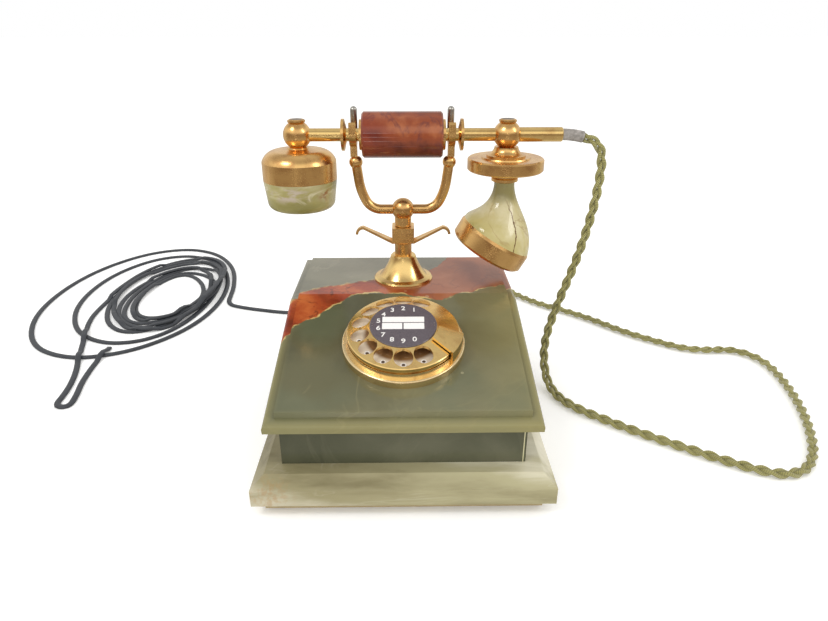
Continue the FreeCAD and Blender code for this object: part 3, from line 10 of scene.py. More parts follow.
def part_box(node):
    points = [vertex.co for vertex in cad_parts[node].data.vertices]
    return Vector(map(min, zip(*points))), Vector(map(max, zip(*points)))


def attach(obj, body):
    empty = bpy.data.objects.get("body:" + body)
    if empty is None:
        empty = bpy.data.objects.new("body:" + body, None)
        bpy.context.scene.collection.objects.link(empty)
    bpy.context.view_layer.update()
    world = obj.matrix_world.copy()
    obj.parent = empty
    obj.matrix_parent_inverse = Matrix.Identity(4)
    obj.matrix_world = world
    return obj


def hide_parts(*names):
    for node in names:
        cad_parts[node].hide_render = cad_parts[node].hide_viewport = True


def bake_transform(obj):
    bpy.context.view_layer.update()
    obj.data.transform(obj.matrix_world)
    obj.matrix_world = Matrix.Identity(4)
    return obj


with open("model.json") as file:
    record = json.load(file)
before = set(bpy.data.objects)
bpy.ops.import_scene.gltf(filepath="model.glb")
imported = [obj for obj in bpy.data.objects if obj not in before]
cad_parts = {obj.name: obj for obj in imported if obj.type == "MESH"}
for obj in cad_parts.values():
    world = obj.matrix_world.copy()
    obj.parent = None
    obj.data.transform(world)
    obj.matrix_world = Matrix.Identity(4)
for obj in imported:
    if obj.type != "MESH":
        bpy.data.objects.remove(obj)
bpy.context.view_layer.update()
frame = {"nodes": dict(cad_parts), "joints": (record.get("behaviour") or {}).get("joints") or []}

# Studio: a wide pale floor under soft light, seen from where the photograph was taken.
# Two soft lamps and a room with a window give the brass and the polished stone something to reflect.
scene = bpy.context.scene
scene.view_settings.view_transform = "Standard"
camera_spot = (0.0018, -0.4225, 0.281)
camera_tilt = 24.42
camera_turn = 0.81
camera_data = bpy.data.cameras.new("camera")
camera_data.sensor_width = 36
camera_data.lens = 27.39
camera = bpy.data.objects.new("camera", camera_data)
camera.location = camera_spot
camera.rotation_euler = (math.radians(90 - camera_tilt), 0, math.radians(-camera_turn))
scene.collection.objects.link(camera)
scene.camera = camera


def paint(red, green, blue):
    """A colour as a screen shows it, 0 to 255, in the linear values that nodes use."""
    def straight(level):
        share = level / 255
        return share / 12.92 if share <= 0.04045 else ((share + 0.055) / 1.055) ** 2.4
    return straight(red), straight(green), straight(blue), 1.0


def feed(socket, value):
    """Links an output to a socket, or sets the socket's own value."""
    if isinstance(value, bpy.types.NodeSocket):
        socket.id_data.links.new(value, socket)
    else:
        socket.default_value = value


def add_node(tree, kind, sockets=None, **settings):
    """A new node with its settings made and its input sockets fed."""
    made = tree.nodes.new(kind)
    for name, value in settings.items():
        setattr(made, name, value)
    for name, value in (sockets or {}).items():
        feed(made.inputs[name], value)
    return made


def home(*values):
    """The node tree of the first value that comes from a node."""
    return next(value.id_data for value in values if isinstance(value, bpy.types.NodeSocket))


def worked(operation, first, second=0.0):
    """The result of one sum on two values."""
    sockets = {0: first, 1: second}
    return add_node(home(first, second), "ShaderNodeMath", sockets, operation=operation).outputs[0]


# The sums that the finishes use most.
times = partial(worked, "MULTIPLY")
plus = partial(worked, "ADD")
minus = partial(worked, "SUBTRACT")
unsigned = partial(worked, "ABSOLUTE")


def split(vector):
    """The three parts of a vector."""
    return add_node(vector.id_data, "ShaderNodeSeparateXYZ", {0: vector}).outputs


def eased(value, low, high):
    """0 below low, 1 above high, and a smooth step between them."""
    sockets = {"Value": value, "From Min": low, "From Max": high}
    return add_node(value.id_data, "ShaderNodeMapRange", sockets, interpolation_type="SMOOTHSTEP").outputs[0]


def mixed(share, first, second, way="MIX"):
    """Two colours mixed by a share."""
    sockets = {0: share, 6: first, 7: second}
    tree = home(share, first, second)
    return add_node(tree, "ShaderNodeMix", sockets, data_type="RGBA", blend_type=way).outputs[2]


def ramped(share, stops):
    """A colour read from a row of stops, each a place and a colour."""
    ramp = add_node(share.id_data, "ShaderNodeValToRGB", {0: share})
    bar = ramp.color_ramp.elements
    while len(bar) < len(stops):
        bar.new(0.5)
    for element, (place, colour) in zip(bar, stops):
        element.position = place
        element.color = colour
    return ramp.outputs[0]


def noise(vector, scale, detail=3.0, roughness=0.5, distortion=0.0):
    """A cloudy value from 0 to 1 that follows a vector."""
    sockets = {"Vector": vector, "Scale": scale, "Detail": detail, "Roughness": roughness,
               "Distortion": distortion}
    return add_node(vector.id_data, "ShaderNodeTexNoise", sockets).outputs[0]


def new_material(name):
    """An empty material with its shader and its object coordinates."""
    material = bpy.data.materials.new(name)
    material.use_nodes = True
    tree = material.node_tree
    shader = tree.nodes["Principled BSDF"]
    place = add_node(tree, "ShaderNodeTexCoord").outputs["Object"]
    return material, shader, place


def coat(shader, colour, roughness):
    """Sets a finish's colour and its roughness."""
    feed(shader.inputs["Base Color"], colour)
    feed(shader.inputs["Roughness"], roughness)


def add_object(name, mesh):
    """A mesh as an object at the origin."""
    thing = bpy.data.objects.new(name, mesh)
    scene.collection.objects.link(thing)
    return thing


floor_half = 15.0
floor_mesh = bpy.data.meshes.new("floor")
floor_corners = [(-floor_half, -floor_half, 0), (floor_half, -floor_half, 0),
                 (floor_half, floor_half, 0), (-floor_half, floor_half, 0)]
floor_mesh.from_pydata(floor_corners, [], [(0, 1, 2, 3)])
floor = add_object("floor", floor_mesh)
floor_finish, shader, place = new_material("pale_floor")
floor_cloud = noise(place, scale=3.0)
floor_colour = ramped(floor_cloud, [(0.3, paint(251, 251, 250)), (0.7, paint(254, 254, 253))])
coat(shader, floor_colour, roughness=0.9)
feed(shader.inputs["Specular IOR Level"], 0.0)
feed(shader.inputs["Emission Color"], paint(255, 255, 255))
feed(shader.inputs["Emission Strength"], 0.15)
floor_mesh.materials.append(floor_finish)
floor.visible_glossy = False

world = bpy.data.worlds.new("room")
scene.world = world
world.use_nodes = True
room = world.node_tree
room.nodes.clear()
ray = add_node(room, "ShaderNodeTexCoord").outputs["Generated"]
ray_part = split(ray)
up_share = plus(times(ray_part["Z"], 0.5), 0.5)
room_far = ramped(up_share, [
    (0.30, (0.62, 0.60, 0.57, 1)), (0.50, (0.62, 0.60, 0.57, 1)), (0.58, (0.82, 0.81, 0.79, 1)),
    (0.72, (0.82, 0.81, 0.79, 1)), (0.84, (0.42, 0.40, 0.38, 1)), (1.0, (0.74, 0.73, 0.71, 1))])
room_near = ramped(up_share, [
    (0.25, (0.46, 0.42, 0.37, 1)), (0.44, (0.32, 0.27, 0.22, 1)), (0.60, (0.24, 0.19, 0.15, 1)),
    (0.68, (1.05, 1.02, 0.96, 1)), (0.84, (1.05, 1.02, 0.96, 1)), (0.92, (0.45, 0.43, 0.40, 1))])
near_to_far = eased(ray_part["Y"], -0.35, 0.35)
room_mirror = mixed(near_to_far, room_near, room_far)
window_low = 0.28
window_high = 0.79
window_right = (-0.015, -0.03)
window_left = (-0.16, -0.12)
window_front = (-0.2, -0.4)
window_bright = (3.2, 3.2, 3.1, 1)
pane_tall = 0.17
pane_middle = 0.1
pane_half = 0.06
pane_place = worked("FRACT", worked("DIVIDE", minus(up_share, window_low), pane_tall))
pane = worked("LESS_THAN", unsigned(minus(pane_place, pane_middle)), pane_half)
in_window = times(worked("GREATER_THAN", up_share, window_low),
                  worked("LESS_THAN", up_share, window_high))
left_side = times(eased(ray_part["X"], *window_right), eased(ray_part["X"], *window_left))
left_front = times(left_side, eased(ray_part["Y"], *window_front))
window = times(times(pane, in_window), left_front)
room_mirror = mixed(window, room_mirror, window_bright)
room_light = add_node(room, "ShaderNodeBackground", {"Color": (1.0, 0.995, 0.985, 1), "Strength": 1.03})
way = add_node(room, "ShaderNodeLightPath").outputs
seen_room = room_light.outputs[0]
for share, colour in ((way["Is Glossy Ray"], room_mirror), (way["Is Camera Ray"], (1.0, 1.0, 1.0, 1))):
    shown = add_node(room, "ShaderNodeBackground", {"Color": colour, "Strength": 1.0}).outputs[0]
    seen_room = add_node(room, "ShaderNodeMixShader", {0: share, 1: seen_room, 2: shown}).outputs[0]
add_node(room, "ShaderNodeOutputWorld", {"Surface": seen_room})


def add_lamp(name, spot, target, wide, tall, power):
    """A soft rectangular lamp that faces a point."""
    data = bpy.data.lights.new(name, "AREA")
    data.shape = "RECTANGLE"
    data.size = wide
    data.size_y = tall
    data.energy = power
    lamp = bpy.data.objects.new(name, data)
    lamp.location = spot
    lamp.rotation_euler = (Vector(target) - Vector(spot)).to_track_quat("-Z", "Y").to_euler()
    scene.collection.objects.link(lamp)


lamp_target = (0, 0, 0.1)
add_lamp("key_lamp", (-0.9, -0.7, 1.5), lamp_target, wide=0.5, tall=0.4, power=6)
add_lamp("fill_lamp", (1.3, -0.5, 1.1), lamp_target, wide=0.4, tall=0.6, power=3)

# Felt and pan: a sheet of dark felt glued under a brown moulded tray that closes the base.
# Four steel screws hold the tray to the stone.


def add_relief(shader, height, distance, strength=1.0):
    """Turns a height that varies over the surface into small bumps."""
    sockets = {"Height": height, "Distance": distance, "Strength": strength}
    feed(shader.inputs["Normal"], add_node(shader.id_data, "ShaderNodeBump", sockets).outputs[0])


def dress(material, *nodes):
    """Gives solids of the telephone their finish."""
    for name in nodes:
        mesh = frame["nodes"][name].data
        mesh.materials.clear()
        mesh.materials.append(material)


def grained(name, grain, stops, gloss, relief=None):
    """A finish coloured by one cloud, given by its scale, detail and roughness, that may stand proud."""
    material, shader, place = new_material(name)
    fibre = noise(place, *grain)
    coat(shader, ramped(fibre, stops), gloss)
    if relief:
        add_relief(shader, fibre, relief)
    return material


felt_stops = [(0.3, paint(30, 30, 28)), (0.7, paint(62, 61, 57))]
dress(grained("dark_felt", (900.0, 6.0, 0.7), felt_stops, gloss=0.95, relief=0.0006), "base_felt")


def moulded(name, dark, light, gloss):
    """A moulded plastic with a fine even grain."""
    material, shader, place = new_material(name)
    grain = noise(place, scale=1500.0, detail=2.0)
    cloud = noise(place, scale=40.0)
    coat(shader, mixed(cloud, dark, light), plus(times(cloud, 0.15), gloss))
    add_relief(shader, grain, distance=0.0001, strength=0.6)
    return material


dress(moulded("brown_tray", paint(164, 146, 108), paint(190, 172, 132), gloss=0.5), "base_pan")


def metal(name, dull, bright, gloss):
    """A plain metal with faint rubbed marks."""
    material, shader, place = new_material(name)
    marks = noise(place, scale=600.0, detail=4.0, roughness=0.6)
    cloud = noise(place, scale=60.0, detail=4.0, roughness=0.6)
    coat(shader, mixed(cloud, dull, bright), plus(times(marks, 0.15), gloss))
    feed(shader.inputs["Metallic"], 1.0)
    add_relief(shader, marks, distance=0.00005, strength=0.5)
    return material


steel = metal("bright_steel", paint(150, 150, 152), paint(190, 190, 192), gloss=0.25)
dress(steel, "pan_screws", "governor", "clapper", "ringer_bracket", "gong_posts", "pulse_contacts",
      "hook_contacts")

# Plinth: one frame of pale beige-green onyx, sawn, bevelled and polished, with whitish bands through it.
# The stone's clouds, bands, veins and small chips are one group, placed in every onyx piece with its colours.
finish_results = {"Colour": "NodeSocketColor", "Gloss": "NodeSocketFloat", "Relief": "NodeSocketFloat"}


def new_finish_group(name, colours, values):
    """An empty shader group that takes a vector, colours and values, and gives a finish."""
    group = bpy.data.node_groups.new(name, "ShaderNodeTree")
    wanted = {"Vector": "NodeSocketVector", **dict.fromkeys(colours, "NodeSocketColor"),
              **dict.fromkeys(values, "NodeSocketFloat")}
    for socket, kind in wanted.items():
        group.interface.new_socket(socket, in_out="INPUT", socket_type=kind)
    for socket, kind in finish_results.items():
        group.interface.new_socket(socket, in_out="OUTPUT", socket_type=kind)
    return group, group.nodes.new("NodeGroupInput").outputs


def end_finish_group(group, colour, gloss, relief):
    """Links a group's results to its end."""
    end = group.nodes.new("NodeGroupOutput")
    for socket, value in zip(finish_results, (colour, gloss, relief)):
        feed(end.inputs[socket], value)


def remapped(vector, turn=(0, 0, 0), shift=(0, 0, 0), scale=(1, 1, 1)):
    """A vector turned, shifted and stretched."""
    changes = {"Vector": vector, "Rotation": turn, "Location": shift, "Scale": scale}
    return add_node(vector.id_data, "ShaderNodeMapping", changes).outputs[0]


onyx_colours = ("Dark", "Body", "Light", "Vein")
onyx_values = ("Cloud Scale", "Band Scale", "Vein Share", "Vein Width", "Chip Share")
onyx, given = new_finish_group("onyx", onyx_colours, onyx_values)
stone_place = given["Vector"]
cloud_scale = given["Cloud Scale"]
big_cloud = noise(stone_place, scale=cloud_scale, detail=5.0, roughness=0.55, distortion=0.9)
fine_cloud = noise(stone_place, scale=times(cloud_scale, 4.0), detail=4.0, roughness=0.6, distortion=0.4)
bands = add_node(onyx, "ShaderNodeTexWave", {
    "Vector": stone_place, "Scale": given["Band Scale"], "Distortion": 7.0, "Detail": 3.0,
    "Detail Scale": 1.2, "Detail Roughness": 0.55}, wave_type="BANDS", bands_direction="DIAGONAL").outputs[1]
cloud_sum = plus(times(big_cloud, 0.55), times(bands, 0.28))
cloud_sum = plus(cloud_sum, times(fine_cloud, 0.17))
dark_to_body = mixed(eased(cloud_sum, 0.28, 0.5), given["Dark"], given["Body"])
body_to_light = mixed(eased(cloud_sum, 0.5, 0.74), dark_to_body, given["Light"])
vein_field = noise(stone_place, scale=times(cloud_scale, 0.8), detail=4.0, roughness=0.6, distortion=1.6)
vein_near = unsigned(minus(vein_field, 0.5))
vein_line = minus(1.0, eased(vein_near, 0.0, given["Vein Width"]))
vein_break = eased(noise(stone_place, scale=times(cloud_scale, 1.7), detail=2.0), 0.4, 0.6)
vein_mask = times(times(vein_line, vein_break), given["Vein Share"])
veined = mixed(vein_mask, body_to_light, given["Vein"])
chip_cell = add_node(onyx, "ShaderNodeTexVoronoi", {"Vector": stone_place, "Scale": 110.0, "Randomness": 1.0})
chip_size = add_node(onyx, "ShaderNodeSeparateColor", {0: chip_cell.outputs["Color"]}).outputs[0]
chip_rarity = 0.88
chip_largest = 0.17
chip_reach = times(eased(chip_size, chip_rarity, 1.0), chip_largest)
chip_mask = worked("LESS_THAN", chip_cell.outputs["Distance"], chip_reach)
chip_mask = times(chip_mask, given["Chip Share"])
chip_colour = paint(214, 204, 160)
chipped = mixed(chip_mask, veined, chip_colour)
scratch_place = remapped(stone_place, turn=(0, 0, 0.5), scale=(900, 22, 300))
scratches = eased(noise(scratch_place, scale=1.0, detail=2.0), 0.74, 0.8)
gloss = plus(times(fine_cloud, 0.12), 0.10)
gloss = plus(gloss, times(scratches, 0.12))
relief = minus(times(big_cloud, 0.35), times(chip_mask, 0.6))
relief = minus(relief, times(scratches, 0.1))
end_finish_group(onyx, chipped, gloss, relief)


def add_onyx(place, colours, scales, veins, chips, turn=(0, 0, 0), shift=(0, 0, 0)):
    """The onyx group with one piece's colours, turned so that its bands run the right way."""
    sockets = {"Vector": remapped(place, turn, shift), **dict(zip(onyx_colours, colours))}
    sockets.update(zip(onyx_values, (*scales, *veins, chips)))
    return add_node(place.id_data, "ShaderNodeGroup", sockets, node_tree=onyx).outputs


def polish(shader, colour, stone, matt=1.0):
    """Sets a stone's colour, its polish and its faint unevenness."""
    coat(shader, colour, times(stone["Gloss"], matt))
    feed(shader.inputs["Specular IOR Level"], 0.5)
    add_relief(shader, stone["Relief"], distance=0.00012)


def far_from(place, middle):
    """How far each place lies from a point."""
    sockets = {0: place, 1: middle}
    return add_node(place.id_data, "ShaderNodeVectorMath", sockets, operation="DISTANCE").outputs["Value"]


def patch(place, middle, reach, grain=260.0):
    """A ragged patch around a point: 1 inside, 0 outside, broken up by a fine cloud."""
    ragged = eased(noise(place, scale=grain, detail=4.0, roughness=0.6), 0.42, 0.6)
    return times(eased(far_from(place, middle), reach, reach * 0.2), ragged)


plinth_colours = (paint(126, 118, 84), paint(164, 157, 120), paint(214, 208, 182), paint(228, 223, 205))
plinth_stone, shader, place = new_material("pale_onyx")
plinth_long = remapped(place, turn=(0, 0.32, 0.25), scale=(0.3, 0.8, 1.5))
stone = add_onyx(plinth_long, plinth_colours, scales=(24.0, 7.0), veins=(0.12, 0.02), chips=0.5)
stain_spot = (-0.083, -0.116, 0.014)
stain_reach = 0.020
stain_share = 0.4
stain_colour = paint(184, 140, 84)
stain_mask = times(patch(place, stain_spot, stain_reach), stain_share)
plinth_colour = mixed(stain_mask, stone["Colour"], stain_colour)
plinth_across = split(place)["X"]
left_tone = (0.80, 0.78, 0.76, 1)
right_tone = (1.16, 1.17, 1.24, 1)
paler_right = mixed(eased(plinth_across, -0.07, 0.06), left_tone, right_tone)
plinth_colour = mixed(1.0, plinth_colour, paler_right, way="MULTIPLY")
polish(shader, plinth_colour, stone)
dress(plinth_stone, "plinth")

# Walls: four darker olive slips of the same stone, butted and glued at the corners.
# The glue line at the front's right end is a thin bright stripe.
wall_colours = (paint(66, 68, 52), paint(82, 83, 64), paint(98, 98, 78), paint(112, 110, 88))
wall_stone, shader, place = new_material("wall_onyx")
stone = add_onyx(place, wall_colours, scales=(14.0, 4.0), veins=(0.15, 0.02), chips=0.6,
                 turn=(0.0, 0.3, 0.6))
wall_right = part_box("front_wall")[1].x
joint_inset = 0.0016
joint_half = 0.0004
joint_colour = paint(206, 200, 160)
wall_across = split(place)["X"]
joint_off = unsigned(minus(wall_across, wall_right - joint_inset))
joint_line = eased(joint_off, joint_half, joint_half / 2)
polish(shader, mixed(joint_line, stone["Colour"], joint_colour), stone)
dress(wall_stone, "front_wall", "rear_wall", "left_wall", "right_wall")

# Top slabs: the cradle shelf and the sloping dial panel, cut from one block of olive onyx.
# A rust-red seam with cream edges crosses both, from the left edge up to the rear right corner.
slab_stone, shader, place = new_material("slab_onyx")
slab_low, slab_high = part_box("dial_panel")
slab_half = slab_high.x
slab_front = slab_low.y
slab_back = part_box("cradle_shelf")[1].y
slab_colours = (paint(78, 77, 54), paint(97, 95, 68), paint(118, 115, 86), paint(134, 128, 92))
stone = add_onyx(place, slab_colours, scales=(9.0, 2.4), veins=(0.35, 0.02), chips=0.35,
                 turn=(0.1, 0.0, 0.9))
spot = split(place)
rear_colours = (paint(110, 108, 93), paint(127, 124, 105), paint(141, 137, 118), paint(152, 147, 126))
rear_stone = add_onyx(place, rear_colours, scales=(14.0, 3.0), veins=(0.4, 0.03), chips=0.4)
rust_colours = (paint(112, 37, 19), paint(158, 66, 33), paint(188, 99, 51), paint(86, 35, 23))
rust_stone = add_onyx(place, rust_colours, scales=(38.0, 9.0), veins=(0.8, 0.04), chips=0.3,
                      turn=(0, 0, -0.35))
pink_colours = (paint(132, 70, 44), paint(158, 92, 58), paint(174, 112, 78), paint(126, 74, 56))
pink_stone = add_onyx(place, pink_colours, scales=(22.0, 6.0), veins=(0.5, 0.04), chips=0.3,
                      turn=(0, 0, 0.5))


def traced(value, span, marks, reach):
    """A measure that follows a value over its span, on a smooth curve through a few marks."""
    first, last = span
    low, high = reach
    share = worked("DIVIDE", minus(value, first), last - first)
    curve = add_node(share.id_data, "ShaderNodeFloatCurve", {"Value": share})
    points = curve.mapping.curves[0].points
    while len(points) < len(marks):
        points.new(0.5, 0.5)
    for point, (along, measure) in zip(points, marks):
        point.location = ((along - first) / (last - first), (measure - low) / (high - low))
    curve.mapping.update()
    return plus(times(curve.outputs[0], high - low), low)


seam_rear_marks = [(-0.086, 0.014), (-0.0645, 0.029), (-0.0293, 0.0445), (0.012, 0.062), (0.0253, 0.071),
                   (0.040, 0.098), (0.086, 0.107)]
seam_front_marks = [(-0.086, -0.031), (-0.0755, -0.018), (-0.0624, -0.0085), (-0.0506, 0.004),
                    (-0.0352, 0.0165), (-0.010, 0.019), (0.0213, 0.0115), (0.0487, 0.019),
                    (0.0649, 0.0285), (0.086, 0.037)]
seam_wobble = 0.011
front_blur = 0.0006
rear_blur = 0.0012
front_cream_reach = (0.0016, 0.0002)
rear_cream_reach = (0.003, 0.0004)
edge_reach = 0.010
wobble = times(minus(noise(place, scale=90.0, detail=4.0, roughness=0.6), 0.5), seam_wobble)
back_here = plus(spot["Y"], wobble)
slab_span = (-slab_half, slab_half)
slab_reach = (slab_front, slab_back)
past_front = minus(back_here, traced(spot["X"], slab_span, seam_front_marks, slab_reach))
short_of_rear = minus(traced(spot["X"], slab_span, seam_rear_marks, slab_reach), back_here)
in_front_edge = eased(past_front, -front_blur, front_blur)
in_rear_edge = eased(short_of_rear, -rear_blur, rear_blur)
seam_mask = times(in_front_edge, in_rear_edge)
rust_to_pink = eased(spot["X"], -0.03, 0.03)
seam_colour = mixed(rust_to_pink, rust_stone["Colour"], pink_stone["Colour"])
behind_seam = times(in_front_edge, minus(1.0, in_rear_edge))
right_light = times(eased(spot["X"], 0.035, 0.085), 0.45)
slab_colour = mixed(right_light, stone["Colour"], paint(138, 130, 84))
cool_cloud = times(eased(noise(place, scale=16.0, detail=3.0), 0.45, 0.65), 0.4)
slab_colour = mixed(cool_cloud, slab_colour, paint(98, 106, 84))
side_left = minus(slab_half, unsigned(spot["X"]))
edge_left = worked("MINIMUM", side_left, minus(spot["Y"], slab_front))
edge_glow = times(eased(edge_left, edge_reach, 0.0), 0.6)
slab_colour = mixed(edge_glow, slab_colour, paint(150, 142, 94))
slab_colour = mixed(behind_seam, slab_colour, rear_stone["Colour"])
slab_colour = mixed(seam_mask, slab_colour, seam_colour)
cream_break = eased(noise(place, scale=130.0, detail=3.0), 0.36, 0.6)
front_cream = times(eased(unsigned(past_front), *front_cream_reach), cream_break)
rear_cream = times(eased(unsigned(short_of_rear), *rear_cream_reach), cream_break)
rear_cream = times(rear_cream, eased(spot["X"], 0.0, -0.03))
slab_colour = mixed(times(front_cream, 0.85), slab_colour, paint(214, 190, 120))
slab_colour = mixed(times(rear_cream, 0.6), slab_colour, paint(206, 176, 110))
polish(shader, slab_colour, stone)
dress(slab_stone, "dial_panel", "cradle_shelf")

# Brass: the turned, bent and sawn fittings, polished bright and since gone a little brown in patches.
# The tarnish is one group with a pattern that covers every brass piece.
tarnish, given = new_finish_group("tarnish", ("Clean", "Brown"), ("Amount", "Polish"))
bloom = noise(given["Vector"], scale=70.0, detail=6.0, roughness=0.62, distortion=0.6)
freckle = noise(given["Vector"], scale=700.0, detail=3.0, roughness=0.6)
rub = noise(remapped(given["Vector"], scale=(400, 400, 1200)), scale=1.0, detail=3.0)
brown_share = times(eased(bloom, 0.42, 0.75), given["Amount"])
brass_colour = mixed(brown_share, given["Clean"], given["Brown"])
freckle_share = times(eased(freckle, 0.62, 0.8), 0.25)
brass_colour = mixed(times(freckle_share, given["Amount"]), brass_colour, given["Brown"])
brass_gloss = plus(given["Polish"], times(bloom, 0.12))
brass_gloss = plus(brass_gloss, times(rub, 0.06))
brass_relief = plus(times(rub, 0.5), times(freckle, 0.3))
end_finish_group(tarnish, brass_colour, brass_gloss, brass_relief)


def brass(name, clean, brown, amount, polish_level):
    """A brass finish with its own tone and amount of tarnish."""
    material, shader, place = new_material(name)
    film = add_node(place.id_data, "ShaderNodeGroup", {
        "Vector": place, "Clean": clean, "Brown": brown, "Amount": amount, "Polish": polish_level},
        node_tree=tarnish).outputs
    coat(shader, film["Colour"], film["Gloss"])
    feed(shader.inputs["Metallic"], 1.0)
    add_relief(shader, film["Relief"], distance=0.000002)
    return material


bright_brass = brass("bright_brass", paint(246, 212, 142), paint(200, 150, 92), amount=0.6, polish_level=0.12)
warm_brass = brass("warm_brass", paint(240, 196, 128), paint(190, 138, 88), amount=0.7, polish_level=0.17)
dark_brass = brass("dark_brass", paint(150, 124, 92), paint(84, 62, 42), amount=0.9, polish_level=0.28)
pale_brass = brass("pale_brass", paint(250, 226, 176), paint(208, 164, 114), amount=0.6, polish_level=0.16)
dress(pale_brass, "dial_bezel")
dress(bright_brass, "finger_wheel", "finger_stop", "pedestal_bell", "tail_tube", "handset_rod")
dress(warm_brass, "column_tube", "pedestal_nut", "horn_strip", "guide_block", "plunger_rod", "fork_hub",
      "fork_arms", "yokes", "grip_washers", "stop_discs", "ball_joints", "receiver_dome", "mouth_disc",
      "mouth_collar", "mouth_ring")
dress(dark_brass, "drive_gear", "dial_shaft")
cap_finish, shader, place = new_material("cap_screw_brass")
cap_low, cap_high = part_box("cap_screws")
cap_radius = (cap_high.y - cap_low.y) / 2
cap_middle = (cap_high.x + cap_low.x) / 2
cap_apart = (cap_high.x - cap_low.x) / 2 - cap_radius
cap_spot = split(place)
cap_side = minus(unsigned(minus(cap_spot["X"], cap_middle)), cap_apart)
cap_deep = minus(cap_spot["Y"], cap_low.y + cap_radius)
cap_far = worked("SQRT", plus(times(cap_side, cap_side), times(cap_deep, cap_deep)))
rim_inner = 0.62
rim_outer = 0.74
cap_rim = eased(cap_far, cap_radius * rim_inner, cap_radius * rim_outer)
cap_cloud = noise(place, scale=400.0, detail=4.0)
cap_dark = mixed(cap_cloud, paint(84, 70, 56), paint(140, 122, 100))
cap_colour = mixed(cap_rim, cap_dark, paint(226, 182, 116))
coat(shader, cap_colour, plus(times(cap_cloud, 0.2), 0.18))
feed(shader.inputs["Metallic"], 1.0)
dress(cap_finish, "cap_screws")

# Dial plate: a pale enamelled disc under the finger wheel, with a small white ring at every hole.
# The rings are eyelets that stand a little proud of the plate.
ring_finish = moulded("white_ring", paint(236, 230, 222), paint(252, 249, 244), gloss=0.3)
centre_finish = moulded("dark_centre", paint(70, 50, 36), paint(92, 70, 52), gloss=0.4)
nickel = metal("nickel", paint(160, 158, 152), paint(204, 202, 196), gloss=0.22)
dress(nickel, "back_pins", "gongs")
dial_joint = next(joint for joint in frame["joints"] if joint["name"] == "dial_turn")
dial_tilt = math.radians(14)
dial_place = Matrix.Translation(Vector(dial_joint["pos_m"])) @ Matrix.Rotation(dial_tilt, 4, "X")


def dial_top(name):
    """The height of a solid's top above the panel, along the dial's axis."""
    solid = frame["nodes"][name]
    onto_dial = dial_place.inverted() @ solid.matrix_world
    return max((onto_dial @ vertex.co).z for vertex in solid.data.vertices)


plate_top = dial_top("number_plate")
plate_finish, shader, place = new_material("cream_plate")
plate_far = far_from(place, dial_place @ Vector((0, 0, plate_top)))
plate_cloud = noise(place, scale=260.0, detail=4.0)
plate_cream = mixed(plate_cloud, paint(214, 194, 166), paint(240, 228, 208))
# Painted shade: towards the dial's middle the plate is painted brown, standing in for the shade inside the
# upper part of each hole.
plate_painted_shade = mixed(plate_cloud, paint(122, 86, 52), paint(158, 120, 78))
shade_outer_radius = 0.0285
shade_full_radius = 0.0245
plate_colour = mixed(eased(plate_far, shade_outer_radius, shade_full_radius), plate_cream, plate_painted_shade)
coat(shader, plate_colour, plus(times(plate_cloud, 0.2), 0.15))
dress(plate_finish, "number_plate")
hole_first = math.radians(64.5)
hole_step = math.radians(25.7)
hole_count = 10
eyelet_circle = 0.0302
eyelet_radius = 0.0016
eyelet_wire = 0.0005
ring_sides = 20
wire_sides = 8


def finished_mesh(name, thing):
    """A thing's finished shape as a plain mesh, which takes the thing's place."""
    bpy.context.view_layer.update()
    seen_thing = thing.evaluated_get(bpy.context.evaluated_depsgraph_get())
    mesh = bpy.data.meshes.new_from_object(seen_thing)
    mesh.name = name
    bpy.data.objects.remove(thing)
    return mesh


eyelets = bpy.data.node_groups.new("eyelets", "GeometryNodeTree")
eyelets.interface.new_socket("Geometry", in_out="OUTPUT", socket_type="NodeSocketGeometry")
eyelet_sizes = {
    "Circle Radius": eyelet_circle, "First Angle": hole_first, "Sweep Angle": hole_step * (hole_count - 1),
    "Ring Radius": eyelet_radius, "Wire Radius": eyelet_wire}
eyelet_sockets = {}
for name in eyelet_sizes:
    eyelet_sockets[name] = eyelets.interface.new_socket(name, in_out="INPUT", socket_type="NodeSocketFloat")
given = eyelets.nodes.new("NodeGroupInput").outputs
row = add_node(eyelets, "GeometryNodeCurveArc", {
    "Resolution": hole_count, "Radius": given["Circle Radius"], "Start Angle": given["First Angle"],
    "Sweep Angle": given["Sweep Angle"]}, mode="RADIUS")
ring = add_node(eyelets, "GeometryNodeCurvePrimitiveCircle", {
    "Resolution": ring_sides, "Radius": given["Ring Radius"]})
wire = add_node(eyelets, "GeometryNodeCurvePrimitiveCircle", {
    "Resolution": wire_sides, "Radius": given["Wire Radius"]})
torus = add_node(eyelets, "GeometryNodeCurveToMesh", {
    "Curve": ring.outputs["Curve"], "Profile Curve": wire.outputs["Curve"]})
centre = add_node(eyelets, "GeometryNodeMeshCylinder", {
    "Vertices": ring_sides, "Radius": given["Ring Radius"], "Depth": given["Wire Radius"]})
eyelet = eyelets.nodes.new("GeometryNodeJoinGeometry")
for piece, finish in ((torus, ring_finish), (centre, centre_finish)):
    painted = add_node(eyelets, "GeometryNodeSetMaterial", {
        "Geometry": piece.outputs["Mesh"], "Material": finish})
    feed(eyelet.inputs[0], painted.outputs[0])
spread = add_node(eyelets, "GeometryNodeInstanceOnPoints", {
    "Points": row.outputs["Curve"], "Instance": eyelet.outputs[0]})
finished = add_node(eyelets, "GeometryNodeRealizeInstances", {"Geometry": spread.outputs["Instances"]})
add_node(eyelets, "NodeGroupOutput", {0: finished.outputs[0]})
eyelet_maker = add_object("eyelet_maker", bpy.data.meshes.new("eyelet_maker"))
eyelet_tool = eyelet_maker.modifiers.new("eyelets", "NODES")
eyelet_tool.node_group = eyelets
for name, value in eyelet_sizes.items():
    eyelet_tool[eyelet_sockets[name].identifier] = value
eyelet_mesh = finished_mesh("plate_eyelets", eyelet_maker)


